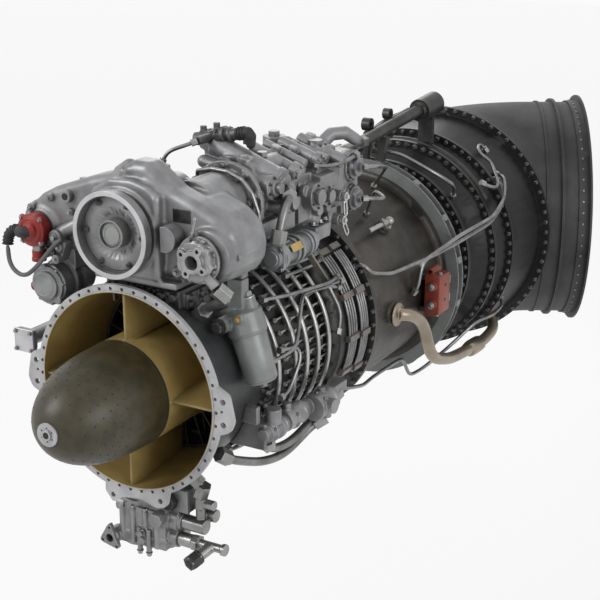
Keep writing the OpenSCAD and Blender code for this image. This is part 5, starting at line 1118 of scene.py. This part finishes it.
# Dark discs deep in the unions' mouths: painted shade for the bores.
bores = facing(union_way, union_root + 58.3 * union_way) + facing(AHEAD, (52, 36.7, -217))
studs("oil_port_bores", bores, hole_shade, "dark_steel", 8.5, 0.8, sides=20, washer=1.0)


# ---------------------------------------------------------------- ignition box
# A red-brown box with a lug on top, two steel connectors on its front and two screw
# wells at its side; a dark bracket and a wire clip behind it hold it to the engine.

box_paint = finish("ignition box paint", (0.29, 0.050, 0.028), (0.20, 0.036, 0.020), 0.1, 0.42,
                   patch=30, grime_and_shade=0.5, wear_and_highlight=0.5, bright=(0.5, 0.32, 0.24))
box_forms = [
    ("slab", (217, 748, -42), (251, 802, 42)), ("slab", (218, 754, 40), (234, 794, 53)),
    ("slab", (219, 750, -47), (240, 790, -41)), ("bar", 226, 50, 754, 794, 6),
    ("bar", 236, 20, 749, 743, 10.5), ("bar", 236, -20, 749, 743, 10.5)]
formed("ignition_unit", box_forms, box_paint, "red_brown", nodes=["ignition_box"], edge=1.6)
bracket_forms = [("slab", (217, 800, -36), (238, 822, 36))]
bracket_forms += [("slab", (181, 758, z), (220, 812, z + 12)) for z in (-44, 28)]
formed("ignition_bracket", bracket_forms, dark_steel, "dark_steel", edge=1.5)
connector_forms = []
for z in (-20, 20):
    clip = [((240, 800, z - 8), 1.6), ((246, 812, z - 6), 1.6), ((246, 812, z + 8), 1.6),
            ((240, 800, z + 10), 1.6)]
    connector_forms += [("bar", 236, z, 744, 737, 7.8), ("bar", 236, z, 738, 733, 5.4), ("limb", *clip)]
formed("ignition_connectors", connector_forms, steel, "bright_steel", edge=0.8)
box_screws = facing(UP, (243, 768, 41.6)) + facing(-UP, (244, 756, -41.6))
bolts("ignition_screws", box_screws, 4.4, 4.0)
# The screw wells are dark discs: painted shade in the recesses.
studs("ignition_wells", facing(RIGHT, (250.8, 778, -14), (250.8, 778, 18)), hole_shade, "red_brown",
      3.6, 0.5, sides=16, washer=1.0)


# ------------------------------------------------------------------ bleed pipe
# A heat-tinted titanium pipe with a sleeve joint takes air from the combustor's
# front round the side of the engine to the turbine casing.

tan_metal = finish("heat tinted titanium", (0.33, 0.275, 0.21), (0.23, 0.19, 0.145), 0.75, 0.34,
                   patch=16, grime_and_shade=0.5, wear_and_highlight=0.3, bright=(0.7, 0.62, 0.5))
tube_copy("bleed_air_pipe", "bleed_pipe", tan_metal, "tan_titanium", 1.35)


# ------------------------------------------------ pipes, nuts and clamp blocks
# Stainless oil, fuel and sense pipes end in hexagon nuts; eight thin pipes run
# round the casing as a bundle in grooved clamp blocks.

pipe_steel = finish("pipe steel", (0.27, 0.27, 0.27), (0.17, 0.17, 0.17), 0.85, 0.3, patch=30,
                    bump=0.05, grime_and_shade=0.8, wear_and_highlight=0.2)
old_steel = finish("dull pipe steel", (0.25, 0.248, 0.243), (0.16, 0.158, 0.155), 0.8, 0.36, patch=30,
                   bump=0.08, grime_and_shade=0.8, wear_and_highlight=0.3, bright=(0.6, 0.59, 0.58))
tube_copy("oil_pipe_runs", "oil_pipes", old_steel, "steel", 0.85)
tube_copy("fuel_pipe_runs", "fuel_pipes", pipe_steel, "bright_steel", 0.72)
tube_copy("hot_pipe_runs", "hot_pipes", pipe_steel, "bright_steel", 0.8)
smooth_copy("pipe_bundle", "tube_bundles", pipe_steel, "bright_steel")
dress("pipe_nuts", steel)
clamp_paint = finish("clamp block", (0.22, 0.20, 0.17), (0.14, 0.128, 0.11), 0.3, 0.45, grime_and_shade=0.7,
                     wear_and_highlight=0.6, bright=(0.55, 0.52, 0.46))
dress("pipe_clamps", clamp_paint)


# ----------------------------------------------------------------- top conduit
# A heat-resistant conduit along the top carries the governor's shaft and harness
# from the control to the turbine casing, in clips on the mount ring.

smooth_copy("conduit_run", "top_conduit", dark_steel, "dark_steel")


# ------------------------------------------------------------- nose joint ring
# The nose goes on last over the hub; the gap at the joint is a dark ring of painted shade, and
# its access cap has a recessed socket, a dark disc of painted shade, with screws round it.

seam_profile = ((93, -12.4), (96.9, -12.4), (96.9, -8.6), (93, -8.6))
formed("nose_seam", [("turned", (0, 0, 0), seam_profile, 160)], hole_shade, "dark_steel")
formed("nose_cap_socket", [("bar", 0, 0, -211.8, -212.4, 5.6)], hole_shade, "dark_steel")


# ----------------------------------------------------------- camera and studio
# A plain pale floor, a white surround and three large soft lamps. The floor and the
# surround look brighter than the light that they give to the engine.

camera = bpy.data.objects.new("camera", bpy.data.cameras.new("camera"))
camera.data.lens = 80.80
camera.data.sensor_width = 36
camera.location = (1.332, -1.715, 0.884)
camera.rotation_euler = (radians(71.563), 0, radians(29.908))
bpy.context.collection.objects.link(camera)
bpy.context.scene.camera = camera


def seen(tree):
    """One where a ray shows the surroundings themselves, nought where it only lights the engine."""
    ray = add(tree, "ShaderNodeLightPath").outputs
    through = arithmetic(tree, "MAXIMUM", ray["Is Glossy Ray"], ray["Is Transmission Ray"])
    return arithmetic(tree, "MAXIMUM", ray["Is Camera Ray"], through)


FLOOR_Z = -0.95
FLOOR_SIZE = 14
shape = bmesh.new()
bmesh.ops.create_grid(shape, x_segments=1, y_segments=1, size=FLOOR_SIZE,
                      matrix=Matrix.Translation((0, 1, FLOOR_Z)))
floor = built("floor", shape)
pale = bpy.data.materials.new("pale floor")
pale.use_nodes = True
tree = pale.node_tree
base = tree.nodes["Principled BSDF"]
base.inputs["Roughness"].default_value = 0.9
shown = seen(tree)
floor_colour = blend_colours(tree, shown, (0.82, 0.82, 0.82), (0.14, 0.14, 0.14))
tree.links.new(floor_colour, base.inputs["Base Color"])
lift = arithmetic(tree, "MULTIPLY", shown, 0.82)
base.inputs["Emission Color"].default_value = (1, 1, 1, 1)
tree.links.new(lift, base.inputs["Emission Strength"])
floor.data.materials.append(pale)

world = bpy.data.worlds.new("studio")
bpy.context.scene.world = world
world.use_nodes = True
tree = world.node_tree
strength = spread(tree, seen(tree), 0.0, 1.0, 0.42, 0.965)
tree.links.new(strength, tree.nodes["Background"].inputs["Strength"])
tree.nodes["Background"].inputs["Color"].default_value = (1, 1, 1, 1)


def lamp(name, place, target, size, power):
    """A square soft lamp that faces a point."""
    data = bpy.data.lights.new(name, "AREA")
    data.shape = "SQUARE"
    data.size = size
    data.energy = power
    made = bpy.data.objects.new(name, data)
    made.location = place
    made.rotation_euler = (Vector(target) - Vector(place)).to_track_quat("-Z", "Y").to_euler()
    bpy.context.collection.objects.link(made)


lamp("key", (-1.9, -2.3, 2.3), (0, 0.4, 0.1), 1.6, 62)
lamp("side", (3.4, -0.6, 1.0), (0, 0.7, 0), 1.8, 40)
lamp("back", (-1.6, 3.2, 1.6), (0, 0.9, 0), 1.6, 18)

bpy.context.scene.view_settings.view_transform = "Standard"
